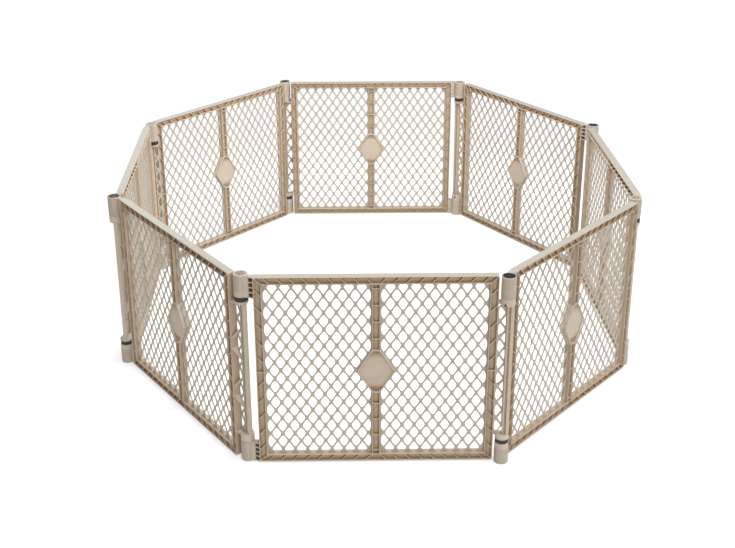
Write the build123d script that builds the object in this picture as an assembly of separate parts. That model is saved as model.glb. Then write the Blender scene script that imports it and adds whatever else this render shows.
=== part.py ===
from build123d import *
import math
import os

# Free-standing play yard: a closed ring of identical moulded panels on vertical hinges.
# Millimetres and degrees, +Z up, origin on the floor at the centre of the ring.

# Ring
HINGE_PITCH = 813.0
PANEL_HEIGHT = 660.0
# Turn of the ring at corners 2, 3 and 4; corner 1 takes what closes half a ring,
# and the second half repeats the first, so that opposite panels are parallel.
REST_TURNS = (52.3, 39.5, 38.3)

# Panel frame: a rail all round with a web at mid depth and a wall on each edge
FRAME_DEPTH = 27.0
RAIL_WIDTH = 26.0
MULLION_WIDTH = 26.0
WALL = 4.0
WEB = 4.0
FRAME_CORNER_CUT = 5.0
FRAME_INSET = 3.0
KNUCKLE_REACH = 38.0
POST_REACH = 28.0
FOLD_GAP = 2.0

# Diamond plate in the middle of the mullion
PLATE_WIDTH = 111.0
PLATE_HEIGHT = 148.0
PLATE_TIP_WIDTH = 18.0
PLATE_RIM = 6.0
PLATE_RECESS = 4.0

# Diamond lattice: crossing bars in two layers that meet at mid depth
LATTICE_PITCH_X = 38.3
LATTICE_PITCH_Z = 57.4
BAR_WIDTH = 7.0
BAR_DEPTH = 3.0
SHORTEST_BAR = 12.0

# Hinge knuckle: an open barrel at one end of the stile and a closed one at the other,
# both with a square cheek where the fins meet them
BARREL_RADIUS = 23.0
CHEEK_REACH = 25.0
CHEEK_INSET = 4.5
OPEN_BARREL_LENGTH = 71.0
CLOSED_BARREL_LENGTH = 74.5
BLIND_BORE_DEPTH = 40.0
FIN_COUNT = 5
FIN_THICKNESS = 3.5
FIN_MARGIN = 1.0
FIN_BACK = 4.0

# Hinge post: a cup and a flange that turn on the pins, with a post between them
CUP_RADIUS = 22.5
CUP_HEIGHT = 27.0
FLANGE_RADIUS = 22.5
FLANGE_HEIGHT = 12.0
SOCKET_FLOOR = 3.0
ARM_THICKNESS = 4.0
POST_NEAR = -1.5
POST_FAR = 20.5
POST_DEPTH = 14.0
POST_GROOVE_START = 3.0
POST_GROOVE_WIDTH = 7.0
POST_GROOVE_DEPTH = 4.5
TRUSS_BAR_WIDTH = 5.0
TRUSS_BAR_DEPTH = 4.0
# Bars that carry a fin: the lattice node they pass, counted from mid height, and 1 for rising
TRUSS_FIN_BARS = ((-2, -1), (-1, 1), (1, -1), (2, 1))
TRUSS_FIN_THICKNESS = 4.0

# Hinge pins, serrated all round
PIN_RADIUS = 20.0
PIN_FLATS = 24
PIN_FIT = 0.2
PIN_RUNNING_GAP = 0.3
PIN_RECESS = 1.5
PIN_END_GAP = 0.5
BAND_HEIGHT = 14.5
AXIAL_GAP = 0.5
# How far a bore runs past the open end it is cut from
OVERCUT = 1.0

# Places worked out from the sizes above, in the frame of one panel:
# X runs from the knuckle axis to the post axis, Y is across the panel, Z is up
PANEL_COUNT = 2 * (len(REST_TURNS) + 1)
AXIS_OFFSET = FRAME_DEPTH / 2 + FOLD_GAP
POST_X = math.sqrt(HINGE_PITCH**2 - (2 * AXIS_OFFSET) ** 2)
PANEL_SKEW = math.degrees(math.asin(2 * AXIS_OFFSET / HINGE_PITCH))
MIDDLE_Z = PANEL_HEIGHT / 2
FRAME_LEFT = KNUCKLE_REACH
FRAME_RIGHT = POST_X - POST_REACH
FRAME_BOTTOM = FRAME_INSET
FRAME_TOP = PANEL_HEIGHT - FRAME_INSET
MULLION_X = (FRAME_LEFT + FRAME_RIGHT) / 2
CHANNEL_DEPTH = (FRAME_DEPTH - WEB) / 2
BORE_RADIUS = PIN_RADIUS + PIN_FIT
SOCKET_RADIUS = PIN_RADIUS + PIN_RUNNING_GAP
CUP_TOP = PANEL_HEIGHT - OPEN_BARREL_LENGTH - AXIAL_GAP
CUP_BOTTOM = CUP_TOP - CUP_HEIGHT
FLANGE_BOTTOM = CLOSED_BARREL_LENGTH + BAND_HEIGHT
FLANGE_TOP = FLANGE_BOTTOM + FLANGE_HEIGHT
CUP_BORE_DEPTH = CUP_HEIGHT - SOCKET_FLOOR
FLANGE_BORE_DEPTH = FLANGE_HEIGHT - SOCKET_FLOOR


def through_plate(outline):
    """A plate of the frame's full depth with an outline in the panel's plane."""
    return extrude(Plane.XZ * outline, FRAME_DEPTH / 2, both=True)


def both_faces(pocket_outline, depth):
    """Cutters that sink an outline into the front and the back face by the same depth."""
    half = FRAME_DEPTH / 2
    front = Plane.XZ.offset(half) * pocket_outline
    back = Plane.XZ.offset(-half) * pocket_outline
    return [extrude(front, -depth), extrude(back, depth)]


def diamond(inset=0.0):
    """Outline of the plate, a diamond with blunt tips, set in from its rim."""
    half_width = PLATE_WIDTH / 2
    half_height = PLATE_HEIGHT / 2
    outline = Polygon(
        (half_width, 0), (0, half_height), (-half_width, 0), (0, -half_height), align=None
    )
    slope = half_height / half_width
    side_cut = PLATE_TIP_WIDTH / 2 / slope
    end_cut = PLATE_TIP_WIDTH / 2 * slope
    outline &= Rectangle(PLATE_WIDTH - 2 * side_cut, PLATE_HEIGHT - 2 * end_cut)
    if inset > 0:
        outline = offset(outline, -inset, kind=Kind.INTERSECTION)
    return Pos(MULLION_X, MIDDLE_Z) * outline


def bay_edges():
    """Left and right edge of the two lattice bays."""
    half = MULLION_WIDTH / 2
    return [
        (FRAME_LEFT + RAIL_WIDTH, MULLION_X - half),
        (MULLION_X + half, FRAME_RIGHT - RAIL_WIDTH),
    ]


def bay(edges):
    """The space of one lattice bay, between the rails and clear of the diamond plate."""
    left, right = edges
    height = FRAME_TOP - FRAME_BOTTOM - 2 * RAIL_WIDTH
    opening = Pos((left + right) / 2, MIDDLE_Z) * Rectangle(right - left, height)
    return through_plate(opening - diamond())


def channel_outlines():
    """Outlines of the rail channel all round and of the mullion's channels."""
    inner = RAIL_WIDTH - WALL
    place = Pos(MULLION_X, MIDDLE_Z)
    width = FRAME_RIGHT - FRAME_LEFT
    height = FRAME_TOP - FRAME_BOTTOM
    ring = Rectangle(width - 2 * WALL, height - 2 * WALL)
    ring = ring - Rectangle(width - 2 * inner, height - 2 * inner)
    strip = Rectangle(MULLION_WIDTH - 2 * WALL, height - 2 * RAIL_WIDTH)
    return [place * ring, place * strip - diamond()]


def frame():
    """Rails, stiles, mullion and diamond plate of one panel."""
    outline = Rectangle(FRAME_RIGHT - FRAME_LEFT, FRAME_TOP - FRAME_BOTTOM)
    outline = chamfer(outline.vertices(), FRAME_CORNER_CUT)
    solid = through_plate(Pos(MULLION_X, MIDDLE_Z) * outline)
    for edges in bay_edges():
        solid -= bay(edges)
    for outline in channel_outlines():
        for cutter in both_faces(outline, CHANNEL_DEPTH):
            solid -= cutter
    for cutter in both_faces(diamond(PLATE_RIM), PLATE_RECESS):
        solid -= cutter
    return solid


def post_cylinder(bottom, top, radius):
    """A cylinder on the post axis."""
    return Pos(POST_X, -AXIS_OFFSET, bottom) * Cylinder(
        radius, top - bottom, align=(Align.CENTER, Align.CENTER, Align.MIN)
    )


def level_plate(points, bottom, thickness):
    """A horizontal plate with a straight-edged outline."""
    return Pos(0, 0, bottom) * extrude(make_face(Polyline(*points, close=True)), thickness)


def fin_levels(bottom, top):
    """Evenly spaced fin heights, the outer ones flush with the ends of a barrel."""
    step = (top - bottom - FIN_THICKNESS) / (FIN_COUNT - 1)
    return [bottom + i * step for i in range(FIN_COUNT)]


def cheek_front():
    """Depth of the cheek's front face, set back from the front of the barrel."""
    return AXIS_OFFSET - BARREL_RADIUS + CHEEK_INSET


def barrel(bottom, top):
    """A solid barrel on the knuckle axis with its cheek towards the stile."""
    half = FRAME_DEPTH / 2 - FIN_MARGIN
    depth = half - cheek_front()
    cheek = Pos(CHEEK_REACH / 2, half - depth / 2) * Rectangle(CHEEK_REACH, depth)
    section = Pos(0, AXIS_OFFSET) * Circle(BARREL_RADIUS) + cheek
    return Pos(0, 0, bottom) * extrude(section, top - bottom)


def serrated(bottom, top, radius):
    """A serrated cylinder on the knuckle axis."""
    return Pos(0, AXIS_OFFSET, bottom) * extrude(RegularPolygon(radius, PIN_FLATS), top - bottom)


def knuckle():
    """Two barrels on the knuckle axis, each carried from the stile by level fins with a back wall."""
    half = FRAME_DEPTH / 2 - FIN_MARGIN
    fin = [
        (FRAME_LEFT, half),
        (FRAME_LEFT, -half),
        (CHEEK_REACH, cheek_front()),
        (CHEEK_REACH, half),
    ]
    back = [
        (FRAME_LEFT, half),
        (FRAME_LEFT, half - FIN_BACK),
        (CHEEK_REACH, half - FIN_BACK),
        (CHEEK_REACH, half),
    ]
    barrel_bottom = PANEL_HEIGHT - CLOSED_BARREL_LENGTH
    pieces = [barrel(0, OPEN_BARREL_LENGTH), barrel(barrel_bottom, PANEL_HEIGHT)]
    for bottom, top in ((FRAME_BOTTOM, OPEN_BARREL_LENGTH), (barrel_bottom, FRAME_TOP)):
        pieces.append(level_plate(back, bottom, top - bottom))
        for level in fin_levels(bottom, top):
            pieces.append(level_plate(fin, level, FIN_THICKNESS))
    return pieces


def knuckle_bores():
    """Through bore of the open barrel and blind bore of the closed one."""
    barrel_bottom = PANEL_HEIGHT - CLOSED_BARREL_LENGTH
    return [
        serrated(-OVERCUT, OPEN_BARREL_LENGTH + OVERCUT, BORE_RADIUS),
        serrated(barrel_bottom - OVERCUT, barrel_bottom + BLIND_BORE_DEPTH, BORE_RADIUS),
    ]


def post_section():
    """Section of the hinge post, a bar beside the axis with a groove in both faces."""
    width = POST_FAR - POST_NEAR
    section = Pos((POST_NEAR + POST_FAR) / 2, 0) * Rectangle(width, POST_DEPTH)
    groove = Rectangle(POST_GROOVE_WIDTH, POST_GROOVE_DEPTH)
    middle = POST_GROOVE_START + POST_GROOVE_WIDTH / 2
    for side in (-1, 1):
        section -= Pos(middle, side * (POST_DEPTH - POST_GROOVE_DEPTH) / 2) * groove
    return section


def hinge_post():
    """Cup, flange and post on the post axis, with the arms that tie them to the stile."""
    half = FRAME_DEPTH / 2 - FIN_MARGIN
    arm = [
        (FRAME_RIGHT, -half),
        (FRAME_RIGHT, half),
        (POST_X, CUP_RADIUS - FIN_MARGIN - AXIS_OFFSET),
        (POST_X, -half),
    ]
    post = extrude(post_section(), CUP_BOTTOM - FLANGE_TOP)
    return [
        post_cylinder(CUP_BOTTOM, CUP_TOP, CUP_RADIUS),
        post_cylinder(FLANGE_BOTTOM, FLANGE_TOP, FLANGE_RADIUS),
        Pos(POST_X, -AXIS_OFFSET, FLANGE_TOP) * post,
        level_plate(arm, CUP_BOTTOM, ARM_THICKNESS),
        level_plate(arm, FLANGE_TOP - ARM_THICKNESS, ARM_THICKNESS),
    ]


def hinge_sockets():
    """Blind bores of the cup and the flange, open towards the neighbour's barrels."""
    return [
        post_cylinder(CUP_TOP - CUP_BORE_DEPTH, CUP_TOP + OVERCUT, SOCKET_RADIUS),
        post_cylinder(FLANGE_BOTTOM - OVERCUT, FLANGE_BOTTOM + FLANGE_BORE_DEPTH, SOCKET_RADIUS),
    ]


def panel():
    """One panel moulding without its lattice."""
    solid = frame() + knuckle() + hinge_post()
    for bore in knuckle_bores() + hinge_sockets():
        solid -= bore
    return solid


def ridge(start, end, base_y, height, width, base_axis):
    """A drafted bar: a triangle on the mid plane carried along a line in the panel's plane."""
    sx, sz = start
    across = Vector(1, 0, 0) if base_axis == Axis.X else Vector(0, 0, 1)
    origin = Vector(sx, base_y, sz)
    corners = [
        origin - across * (width / 2),
        origin + across * (width / 2),
        origin + Vector(0, height, 0),
    ]
    run = Vector(end[0] - sx, 0, end[1] - sz)
    return Solid.extrude(make_face(Polyline(*corners, close=True)).face(), run)


def lattice_bars(edges):
    """Crossing bars of one bay, cut off on the rails, the mullion and the diamond plate."""
    left, right = edges
    space = bay(edges)
    centre_x = (left + right) / 2
    half_height = (FRAME_TOP - FRAME_BOTTOM) / 2 - RAIL_WIDTH
    reach = half_height + LATTICE_PITCH_Z
    lean = reach * LATTICE_PITCH_X / LATTICE_PITCH_Z
    level_width = BAR_WIDTH * math.hypot(LATTICE_PITCH_X, LATTICE_PITCH_Z) / LATTICE_PITCH_Z
    count = math.floor(((right - left) / 2 + lean) / LATTICE_PITCH_X)
    bars = []
    for side in (-1, 1):
        for number in range(-count, count + 1):
            middle = centre_x + number * LATTICE_PITCH_X
            start = (middle - side * lean, MIDDLE_Z - reach)
            end = (middle + side * lean, MIDDLE_Z + reach)
            bar = ridge(start, end, 0, side * BAR_DEPTH, level_width, Axis.X)
            for piece in (space & bar).solids():
                if piece.bounding_box().size.Z > SHORTEST_BAR:
                    bars.append(piece)
    return bars


def truss_line(number, side):
    """Both ends of a bar between the stile and the hinge post, at the slope of the lattice.

    It passes the numbered node beside the stile and rises towards the post where side is 1."""
    near = FRAME_RIGHT
    far = POST_X + POST_NEAR
    rise = LATTICE_PITCH_Z / 2
    drop = (far - near) * LATTICE_PITCH_Z / LATTICE_PITCH_X - rise
    node = MIDDLE_Z + number * LATTICE_PITCH_Z
    return (near, node - side * drop), (far, node + side * rise)


def truss_bars():
    """Crossing bars between the stile and the hinge post."""
    base_y = POST_DEPTH / 2 - AXIS_OFFSET - TRUSS_BAR_DEPTH
    upright_width = TRUSS_BAR_WIDTH * math.hypot(LATTICE_PITCH_X, LATTICE_PITCH_Z) / LATTICE_PITCH_X
    lowest = FLANGE_TOP + upright_width / 2
    highest = CUP_BOTTOM - upright_width / 2
    count = math.floor((PANEL_HEIGHT / 2) / LATTICE_PITCH_Z)
    bars = []
    for number in range(-count, count + 1):
        for side in (-1, 1):
            start, end = truss_line(number, side)
            inside = lowest < min(start[1], end[1]) and max(start[1], end[1]) < highest
            if inside:
                bars.append(ridge(start, end, base_y, TRUSS_BAR_DEPTH, upright_width, Axis.Z))
    return bars


def truss_fins():
    """Upright fins on four of the truss bars, tapering from the stile to the hinge post."""
    tip = POST_DEPTH / 2 - AXIS_OFFSET
    foot = tip - TRUSS_BAR_DEPTH
    lip = FRAME_DEPTH / 2 - FIN_MARGIN
    fins = []
    for number, side in TRUSS_FIN_BARS:
        start, end = truss_line(number, side)
        low_start = start[1] - TRUSS_FIN_THICKNESS / 2
        low_end = end[1] - TRUSS_FIN_THICKNESS / 2
        outline = Polyline(
            (start[0], foot, low_start),
            (start[0], lip, low_start),
            (end[0], tip, low_end),
            (end[0], foot, low_end),
            close=True,
        )
        fins.append(Solid.extrude(make_face(outline).face(), Vector(0, 0, TRUSS_FIN_THICKNESS)))
    return fins


def pins():
    """Pin of the open barrel and pin of the closed barrel, each reaching into its socket."""
    barrel_bottom = PANEL_HEIGHT - CLOSED_BARREL_LENGTH
    open_top = OPEN_BARREL_LENGTH + AXIAL_GAP + CUP_BORE_DEPTH - PIN_END_GAP
    closed_bottom = barrel_bottom - BAND_HEIGHT - FLANGE_BORE_DEPTH + PIN_END_GAP
    closed_top = barrel_bottom + BLIND_BORE_DEPTH - PIN_END_GAP
    return [
        serrated(PIN_RECESS, open_top, PIN_RADIUS),
        serrated(closed_bottom, closed_top, PIN_RADIUS),
    ]


def headings():
    """Direction of each panel from hinge axis to hinge axis."""
    half = [0.0]
    for turn in REST_TURNS:
        half.append(half[-1] + turn)
    return half + [direction + 180.0 for direction in half]


def corners(directions):
    """Hinge axes of the ring, centred on the origin."""
    points = [Vector(0, 0)]
    for direction in directions[:-1]:
        step = Vector(HINGE_PITCH, 0).rotate(Axis.Z, direction)
        points.append(points[-1] + step)
    centre = sum(points, Vector(0, 0)) / len(points)
    return [point - centre for point in points]


def place(index, directions, points):
    """Location of a panel: every second one is turned over about its long axis."""
    turned_over = index % 2 == 1
    skew = -PANEL_SKEW if turned_over else PANEL_SKEW
    side = -1 if turned_over else 1
    at_corner = Location(points[index], (0, 0, directions[index] + skew))
    to_axis = Location((0, -side * AXIS_OFFSET, 0))
    over = Location((0, 0, PANEL_HEIGHT), (180, 0, 0)) if turned_over else Location()
    return at_corner * to_axis * over


def write(node, solids, location):
    """Write one node at its place in the ring."""
    group = Compound([solid.moved(location) for solid in solids])
    export_step(group, f"parts/{node}.step")


def main():
    """Build the panel once and set eight copies of it in the ring."""
    os.makedirs("parts", exist_ok=True)
    moulding = panel().solids()
    left_bay, right_bay = bay_edges()
    bars = lattice_bars(left_bay) + lattice_bars(right_bay) + truss_bars() + truss_fins()
    open_pin, closed_pin = pins()
    directions = headings()
    points = corners(directions)
    for index in range(PANEL_COUNT):
        number = index + 1
        location = place(index, directions, points)
        turned_over = index % 2 == 1
        write(f"panel_{number}", moulding, location)
        write(f"panel_{number}_lattice", bars, location)
        upper, lower = (open_pin, closed_pin) if turned_over else (closed_pin, open_pin)
        write(f"hinge_{number}_upper_pin", [upper], location)
        write(f"hinge_{number}_lower_pin", [lower], location)
    for number, point in enumerate(points, start=1):
        print(f"hinge axis {number}: {point.X:.3f}, {point.Y:.3f}")


main()
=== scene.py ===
"""Scene of a free-standing play yard: eight moulded lattice panels hinged into a ring.

Every panel is the same moulding; every second one stands turned over about its long axis.
Each sub-assembly is worked out once in panel millimetres (X from the knuckle axis to the
post axis, Y across the panel, Z up) and set into the ring by the placing of its panel.
"""

import logging
import math
from dataclasses import dataclass, field
from enum import Enum

import bpy
import numpy as np
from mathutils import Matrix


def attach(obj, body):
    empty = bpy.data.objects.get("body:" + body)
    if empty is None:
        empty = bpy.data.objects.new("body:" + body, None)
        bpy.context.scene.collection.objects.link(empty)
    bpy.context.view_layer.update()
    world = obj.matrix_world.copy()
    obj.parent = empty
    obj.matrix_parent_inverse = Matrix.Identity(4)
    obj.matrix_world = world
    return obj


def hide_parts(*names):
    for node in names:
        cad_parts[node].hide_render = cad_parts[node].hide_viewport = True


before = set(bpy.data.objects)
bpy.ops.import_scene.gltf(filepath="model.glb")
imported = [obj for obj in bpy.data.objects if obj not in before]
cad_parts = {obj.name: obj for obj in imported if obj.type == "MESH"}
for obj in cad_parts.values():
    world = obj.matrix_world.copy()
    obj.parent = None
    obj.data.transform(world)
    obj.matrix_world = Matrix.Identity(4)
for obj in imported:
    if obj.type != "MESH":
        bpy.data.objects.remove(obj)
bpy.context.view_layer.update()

LOG = logging.getLogger("play_yard")
Offsets = tuple[tuple[float, float], ...]


class PieceKind(Enum):
    """Pieces of one panel, by the ending of their names."""

    FRAME = "frame"
    RIBS = "ribs"
    PLATE = "plate"
    GRILLE = "grille"
    KNUCKLE = "knuckle"
    POST = "post"


class BarrelEnd(Enum):
    """The two barrels of a knuckle."""

    OPEN = "open"
    CLOSED = "closed"


class Slot(Enum):
    """Material slots of the record."""

    BEIGE = "beige_plastic"
    BLACK = "black_plastic"


@dataclass(frozen=True)
class PanelSizes:
    """Sizes that every sub-assembly shares, in millimetres and degrees."""

    hinge_pitch: float = 813.0
    height: float = 660.0
    turns: tuple[float, float, float] = (52.3, 39.5, 38.3)
    depth: float = 27.0
    rail: float = 26.0
    mullion: float = 26.0
    web: float = 4.0
    frame_inset: float = 3.0
    knuckle_reach: float = 38.0
    post_reach: float = 28.0
    fold_gap: float = 2.0
    pitch_x: float = 39.0
    pitch_z: float = 57.4
    truss_pitch_x: float = 38.3
    barrel_radius: float = 23.0
    open_length: float = 71.0
    closed_length: float = 74.5
    band_height: float = 14.5
    cup_height: float = 27.0
    flange_height: float = 12.0
    pin_radius: float = 20.0
    post_near: float = -1.5
    post_far: float = 20.5
    axial_gap: float = 0.5

    @property
    def axis_offset(self) -> float:
        """Distance of a hinge axis from the panel's middle plane."""
        return self.depth / 2 + self.fold_gap

    @property
    def post_x(self) -> float:
        """Place of the post axis along the panel."""
        return math.sqrt(self.hinge_pitch**2 - (2 * self.axis_offset) ** 2)

    @property
    def skew(self) -> float:
        """Angle in radians between the panel and the line of its two hinge axes."""
        return math.asin(2 * self.axis_offset / self.hinge_pitch)

    @property
    def left(self) -> float:
        """Outer edge of the knuckle-side stile."""
        return self.knuckle_reach

    @property
    def right(self) -> float:
        """Outer edge of the post-side stile."""
        return self.post_x - self.post_reach

    @property
    def middle_x(self) -> float:
        """Centre of the mullion."""
        return (self.left + self.right) / 2

    @property
    def middle_z(self) -> float:
        """Middle height of the panel."""
        return self.height / 2

    @property
    def centre(self) -> tuple[float, float]:
        """Middle of the panel in its own plane."""
        return (self.middle_x, self.middle_z)

    @property
    def half_frame(self) -> tuple[float, float]:
        """Half the width and half the height of the frame."""
        return ((self.right - self.left) / 2, self.middle_z - self.frame_inset)

    @property
    def knuckle_axis(self) -> tuple[float, float]:
        """Place of the knuckle axis, seen from above."""
        return (0.0, self.axis_offset)

    @property
    def post_axis(self) -> tuple[float, float]:
        """Place of the post axis, seen from above."""
        return (self.post_x, -self.axis_offset)

    @property
    def closed_bottom(self) -> float:
        """Lower end of the closed barrel."""
        return self.height - self.closed_length

    @property
    def cup_top(self) -> float:
        """Top of the cup on the post."""
        return self.height - self.open_length - self.axial_gap

    @property
    def cup_bottom(self) -> float:
        """Bottom of the cup on the post."""
        return self.cup_top - self.cup_height

    @property
    def flange_bottom(self) -> float:
        """Bottom of the flange on the post."""
        return self.closed_length + self.band_height

    @property
    def flange_top(self) -> float:
        """Top of the flange on the post."""
        return self.flange_bottom + self.flange_height


SIZES = PanelSizes()
METRES = 0.001  # one panel millimetre
NEAR_AXIS = 0.05  # radius at which a turned solid is closed
BOTH_FACES = (np.array([1.0, 1.0, 1.0]), np.array([1.0, -1.0, 1.0]))  # factors for front and back


def grid_quads(rows: int, cols: int, wrap_rows: bool = False, wrap_cols: bool = False) -> np.ndarray:
    """Quads of a grid of points numbered row by row.

    Args:
        rows: number of rows of points.
        cols: number of points in a row.
        wrap_rows: joins the last row to the first.
        wrap_cols: joins the last point of a row to the first.

    Returns:
        Point numbers, one row of four per quad.
    """
    first = np.arange(rows if wrap_rows else rows - 1)
    second = np.arange(cols if wrap_cols else cols - 1)
    row, col = np.meshgrid(first, second, indexing="ij")
    next_row = (row + 1) % rows
    next_col = (col + 1) % cols
    corners = (row * cols + col, next_row * cols + col, next_row * cols + next_col, row * cols + next_col)
    return np.stack(corners, axis=-1).reshape(-1, 4)


def repeated(group: np.ndarray, copies: int, size: int) -> np.ndarray:
    """Faces of many copies of a shell.

    Args:
        group: faces of the first copy.
        copies: number of copies.
        size: points in one copy.

    Returns:
        Point numbers, one row per face, copy by copy.
    """
    steps = (np.arange(copies) * size)[:, None, None]
    return (group[None] + steps).reshape(-1, group.shape[1])


def signed_volume(points: np.ndarray, faces: list[np.ndarray]) -> float:
    """Volume inside a set of faces, negative where they face inwards.

    Args:
        points: points, one per row.
        faces: groups of faces with the same number of corners.

    Returns:
        The sum of the volumes of the cones from the points' centre to every face.
    """
    centred = points - points.mean(axis=0)
    total = 0.0
    for group in faces:
        for corner in range(1, group.shape[1] - 1):
            a = centred[group[:, 0]]
            b = centred[group[:, corner]]
            c = centred[group[:, corner + 1]]
            total += float(np.einsum("ij,ij->", a, np.cross(b, c)))
    return total / 6


@dataclass
class Surface:
    """Points and faces gathered for one piece, in panel millimetres.

    The tone of a point is painted light and shade: it is 0 on open faces, rises to 1 for painted
    shade in deep corners and is below 0 where a cooler, greyer colour is painted, as shade on thin
    bars and in the grooves of the barrels and as light on level faces.
    """

    points: list[np.ndarray] = field(default_factory=list)
    tones: list[np.ndarray] = field(default_factory=list)
    faces: list[np.ndarray] = field(default_factory=list)
    count: int = 0

    def add(self, points: np.ndarray, faces: list[np.ndarray], painted_shading: np.ndarray | float = 0.0) -> None:
        """Add faces that already face outwards.

        Args:
            points: points, one per row.
            faces: groups of faces with the same number of corners.
            painted_shading: one value for all points or one per point.
        """
        points = points.reshape(-1, 3)
        self.points.append(points)
        self.tones.append(np.broadcast_to(np.asarray(painted_shading, dtype=float).reshape(-1), (len(points),)))
        self.faces.extend(group + self.count for group in faces)
        self.count += len(points)

    def add_solid(self, points: np.ndarray, faces: list[np.ndarray], painted_shading: np.ndarray | float = 0.0) -> None:
        """Add a closed shell and turn it to face outwards.

        Args:
            points: points, one per row.
            faces: groups of faces with the same number of corners.
            painted_shading: one value for all points or one per point.
        """
        points = points.reshape(-1, 3)
        if signed_volume(points, faces) < 0:
            faces = [group[:, ::-1] for group in faces]
        self.add(points, faces, painted_shading)

    def add_copies(self, solids: np.ndarray, faces: list[np.ndarray], painted_shading: np.ndarray | float = 0.0) -> None:
        """Add many closed shells that share one set of faces.

        Args:
            solids: points of every shell, (shells, points, 3).
            faces: groups of faces of one shell.
            painted_shading: one value for all points or one per point of a shell.
        """
        shells, size, _ = solids.shape
        if signed_volume(solids[0], faces) < 0:
            faces = [group[:, ::-1] for group in faces]
        painted_shading = np.broadcast_to(np.asarray(painted_shading, dtype=float).reshape(-1), (size,))
        self.add(solids, [repeated(group, shells, size) for group in faces], np.tile(painted_shading, shells))

    def loft(self, rings: np.ndarray, painted_shading: np.ndarray | float = 0.0) -> None:
        """Add a closed solid made of rings of points with flat ends.

        Args:
            rings: points, (rings, points in a ring, 3).
            painted_shading: one value for all points, one per ring, or a value per ring and point.
        """
        rows, cols, _ = rings.shape
        caps = np.stack([np.arange(cols)[::-1], np.arange(cols) + (rows - 1) * cols])
        self.add_solid(rings, [grid_quads(rows, cols, wrap_cols=True), caps], self._per_point(painted_shading, cols))

    def torus(self, grid: np.ndarray, painted_shading: np.ndarray | float = 0.0) -> None:
        """Add a closed grid that joins up in both directions.

        Args:
            grid: points, (profile points, path points, 3).
            painted_shading: one value for all points, one per profile point, or a value for every point.
        """
        rows, cols, _ = grid.shape
        faces = [grid_quads(rows, cols, wrap_rows=True, wrap_cols=True)]
        self.add_solid(grid, faces, self._per_point(painted_shading, cols))

    @staticmethod
    def _per_point(painted_shading: np.ndarray | float, cols: int) -> np.ndarray:
        """Repeat a tone per row for every point of its row and leave other tones as they are."""
        painted_shading = np.asarray(painted_shading, dtype=float)
        return np.repeat(painted_shading, cols) if painted_shading.ndim == 1 else painted_shading


@dataclass(frozen=True)
class Placing:
    """Place of one panel in the ring, as a rotation and an origin in metres."""

    number: int
    rotation: np.ndarray
    origin: np.ndarray

    @property
    def turned_over(self) -> bool:
        """True for every second panel."""
        return self.number % 2 == 0

    @property
    def body(self) -> str:
        """Name of the CAD body this panel rides on."""
        return f"panel_{self.number}"

    def to_ring(self, points: np.ndarray) -> np.ndarray:
        """Carry panel millimetres to metres in the ring.

        Args:
            points: points, one per row.

        Returns:
            The same points in the ring.
        """
        return points @ self.rotation.T * METRES + self.origin


@dataclass(frozen=True)
class Ring:
    """Closed ring of panels with opposite panels parallel."""

    sizes: PanelSizes = SIZES

    def headings(self) -> np.ndarray:
        """Direction of each hinge line in radians."""
        half = np.concatenate([[0.0], np.cumsum(self.sizes.turns)])
        return np.radians(np.concatenate([half, half + 180.0]))

    def corners(self) -> np.ndarray:
        """Hinge axes in millimetres, centred on the origin."""
        angles = self.headings()
        steps = self.sizes.hinge_pitch * np.stack([np.cos(angles), np.sin(angles)], axis=1)
        points = np.concatenate([np.zeros((1, 2)), np.cumsum(steps[:-1], axis=0)])
        return points - points.mean(axis=0)

    def placings(self) -> list[Placing]:
        """Place of every panel.

        Returns:
            One placing per panel. A panel is shifted across so that its knuckle axis meets
            the corner, turned over where its number is even, then swung to its heading.
        """
        found = []
        for index, (heading, corner) in enumerate(zip(self.headings(), self.corners())):
            side = -1.0 if index % 2 else 1.0
            angle = heading + side * self.sizes.skew
            swing = np.array(
                [[math.cos(angle), -math.sin(angle), 0], [math.sin(angle), math.cos(angle), 0], [0, 0, 1.0]]
            )
            over = np.diag([1.0, side, side])
            lift = self.sizes.height if side < 0 else 0.0
            shift = swing @ np.array([0.0, -side * self.sizes.axis_offset, lift])
            origin = (np.array([*corner, 0.0]) + shift) * METRES
            found.append(Placing(index + 1, swing @ over, origin))
        return found


def rounded_outline(core: np.ndarray, radius: float, steps: int) -> np.ndarray:
    """Outline of a convex core with a round corner at each of its corners.

    Args:
        core: corners of the core, counter-clockwise, (corners, 2).
        radius: radius of the round corners.
        steps: points on each round corner.

    Returns:
        Points (corners * steps, 2). At each corner the direction turns evenly from the
        normal of the side before it to the normal of the side after it.
    """
    after = np.roll(core, -1, axis=0) - core
    normal_after = np.arctan2(-after[:, 0], after[:, 1])
    normal_before = np.roll(normal_after, 1)
    swing = (normal_after - normal_before) % (2 * np.pi)
    angles = normal_before[:, None] + swing[:, None] * np.linspace(0, 1, steps)[None, :]
    ring = np.stack([np.cos(angles), np.sin(angles)], axis=-1)
    return (core[:, None, :] + radius * ring).reshape(-1, 2)


def rectangle_core(centre: tuple[float, float], half: tuple[float, float]) -> np.ndarray:
    """Corners of a rectangle, counter-clockwise."""
    signs = np.array([[1, 1], [-1, 1], [-1, -1], [1, -1]], dtype=float)
    return np.array(centre) + signs * np.array(half)


def diamond_core(centre: tuple[float, float], half: tuple[float, float]) -> np.ndarray:
    """Corners of a diamond, counter-clockwise."""
    signs = np.array([[1, 0], [0, 1], [-1, 0], [0, -1]], dtype=float)
    return np.array(centre) + signs * np.array(half)


def upright(outline: np.ndarray, y: float) -> np.ndarray:
    """Set an outline drawn in the panel's plane at a depth."""
    return np.stack([outline[:, 0], np.full(len(outline), y), outline[:, 1]], axis=1)


def level(outline: np.ndarray, z: float) -> np.ndarray:
    """Set an outline drawn from above at a height."""
    return np.column_stack([outline, np.full(len(outline), z)])


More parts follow.
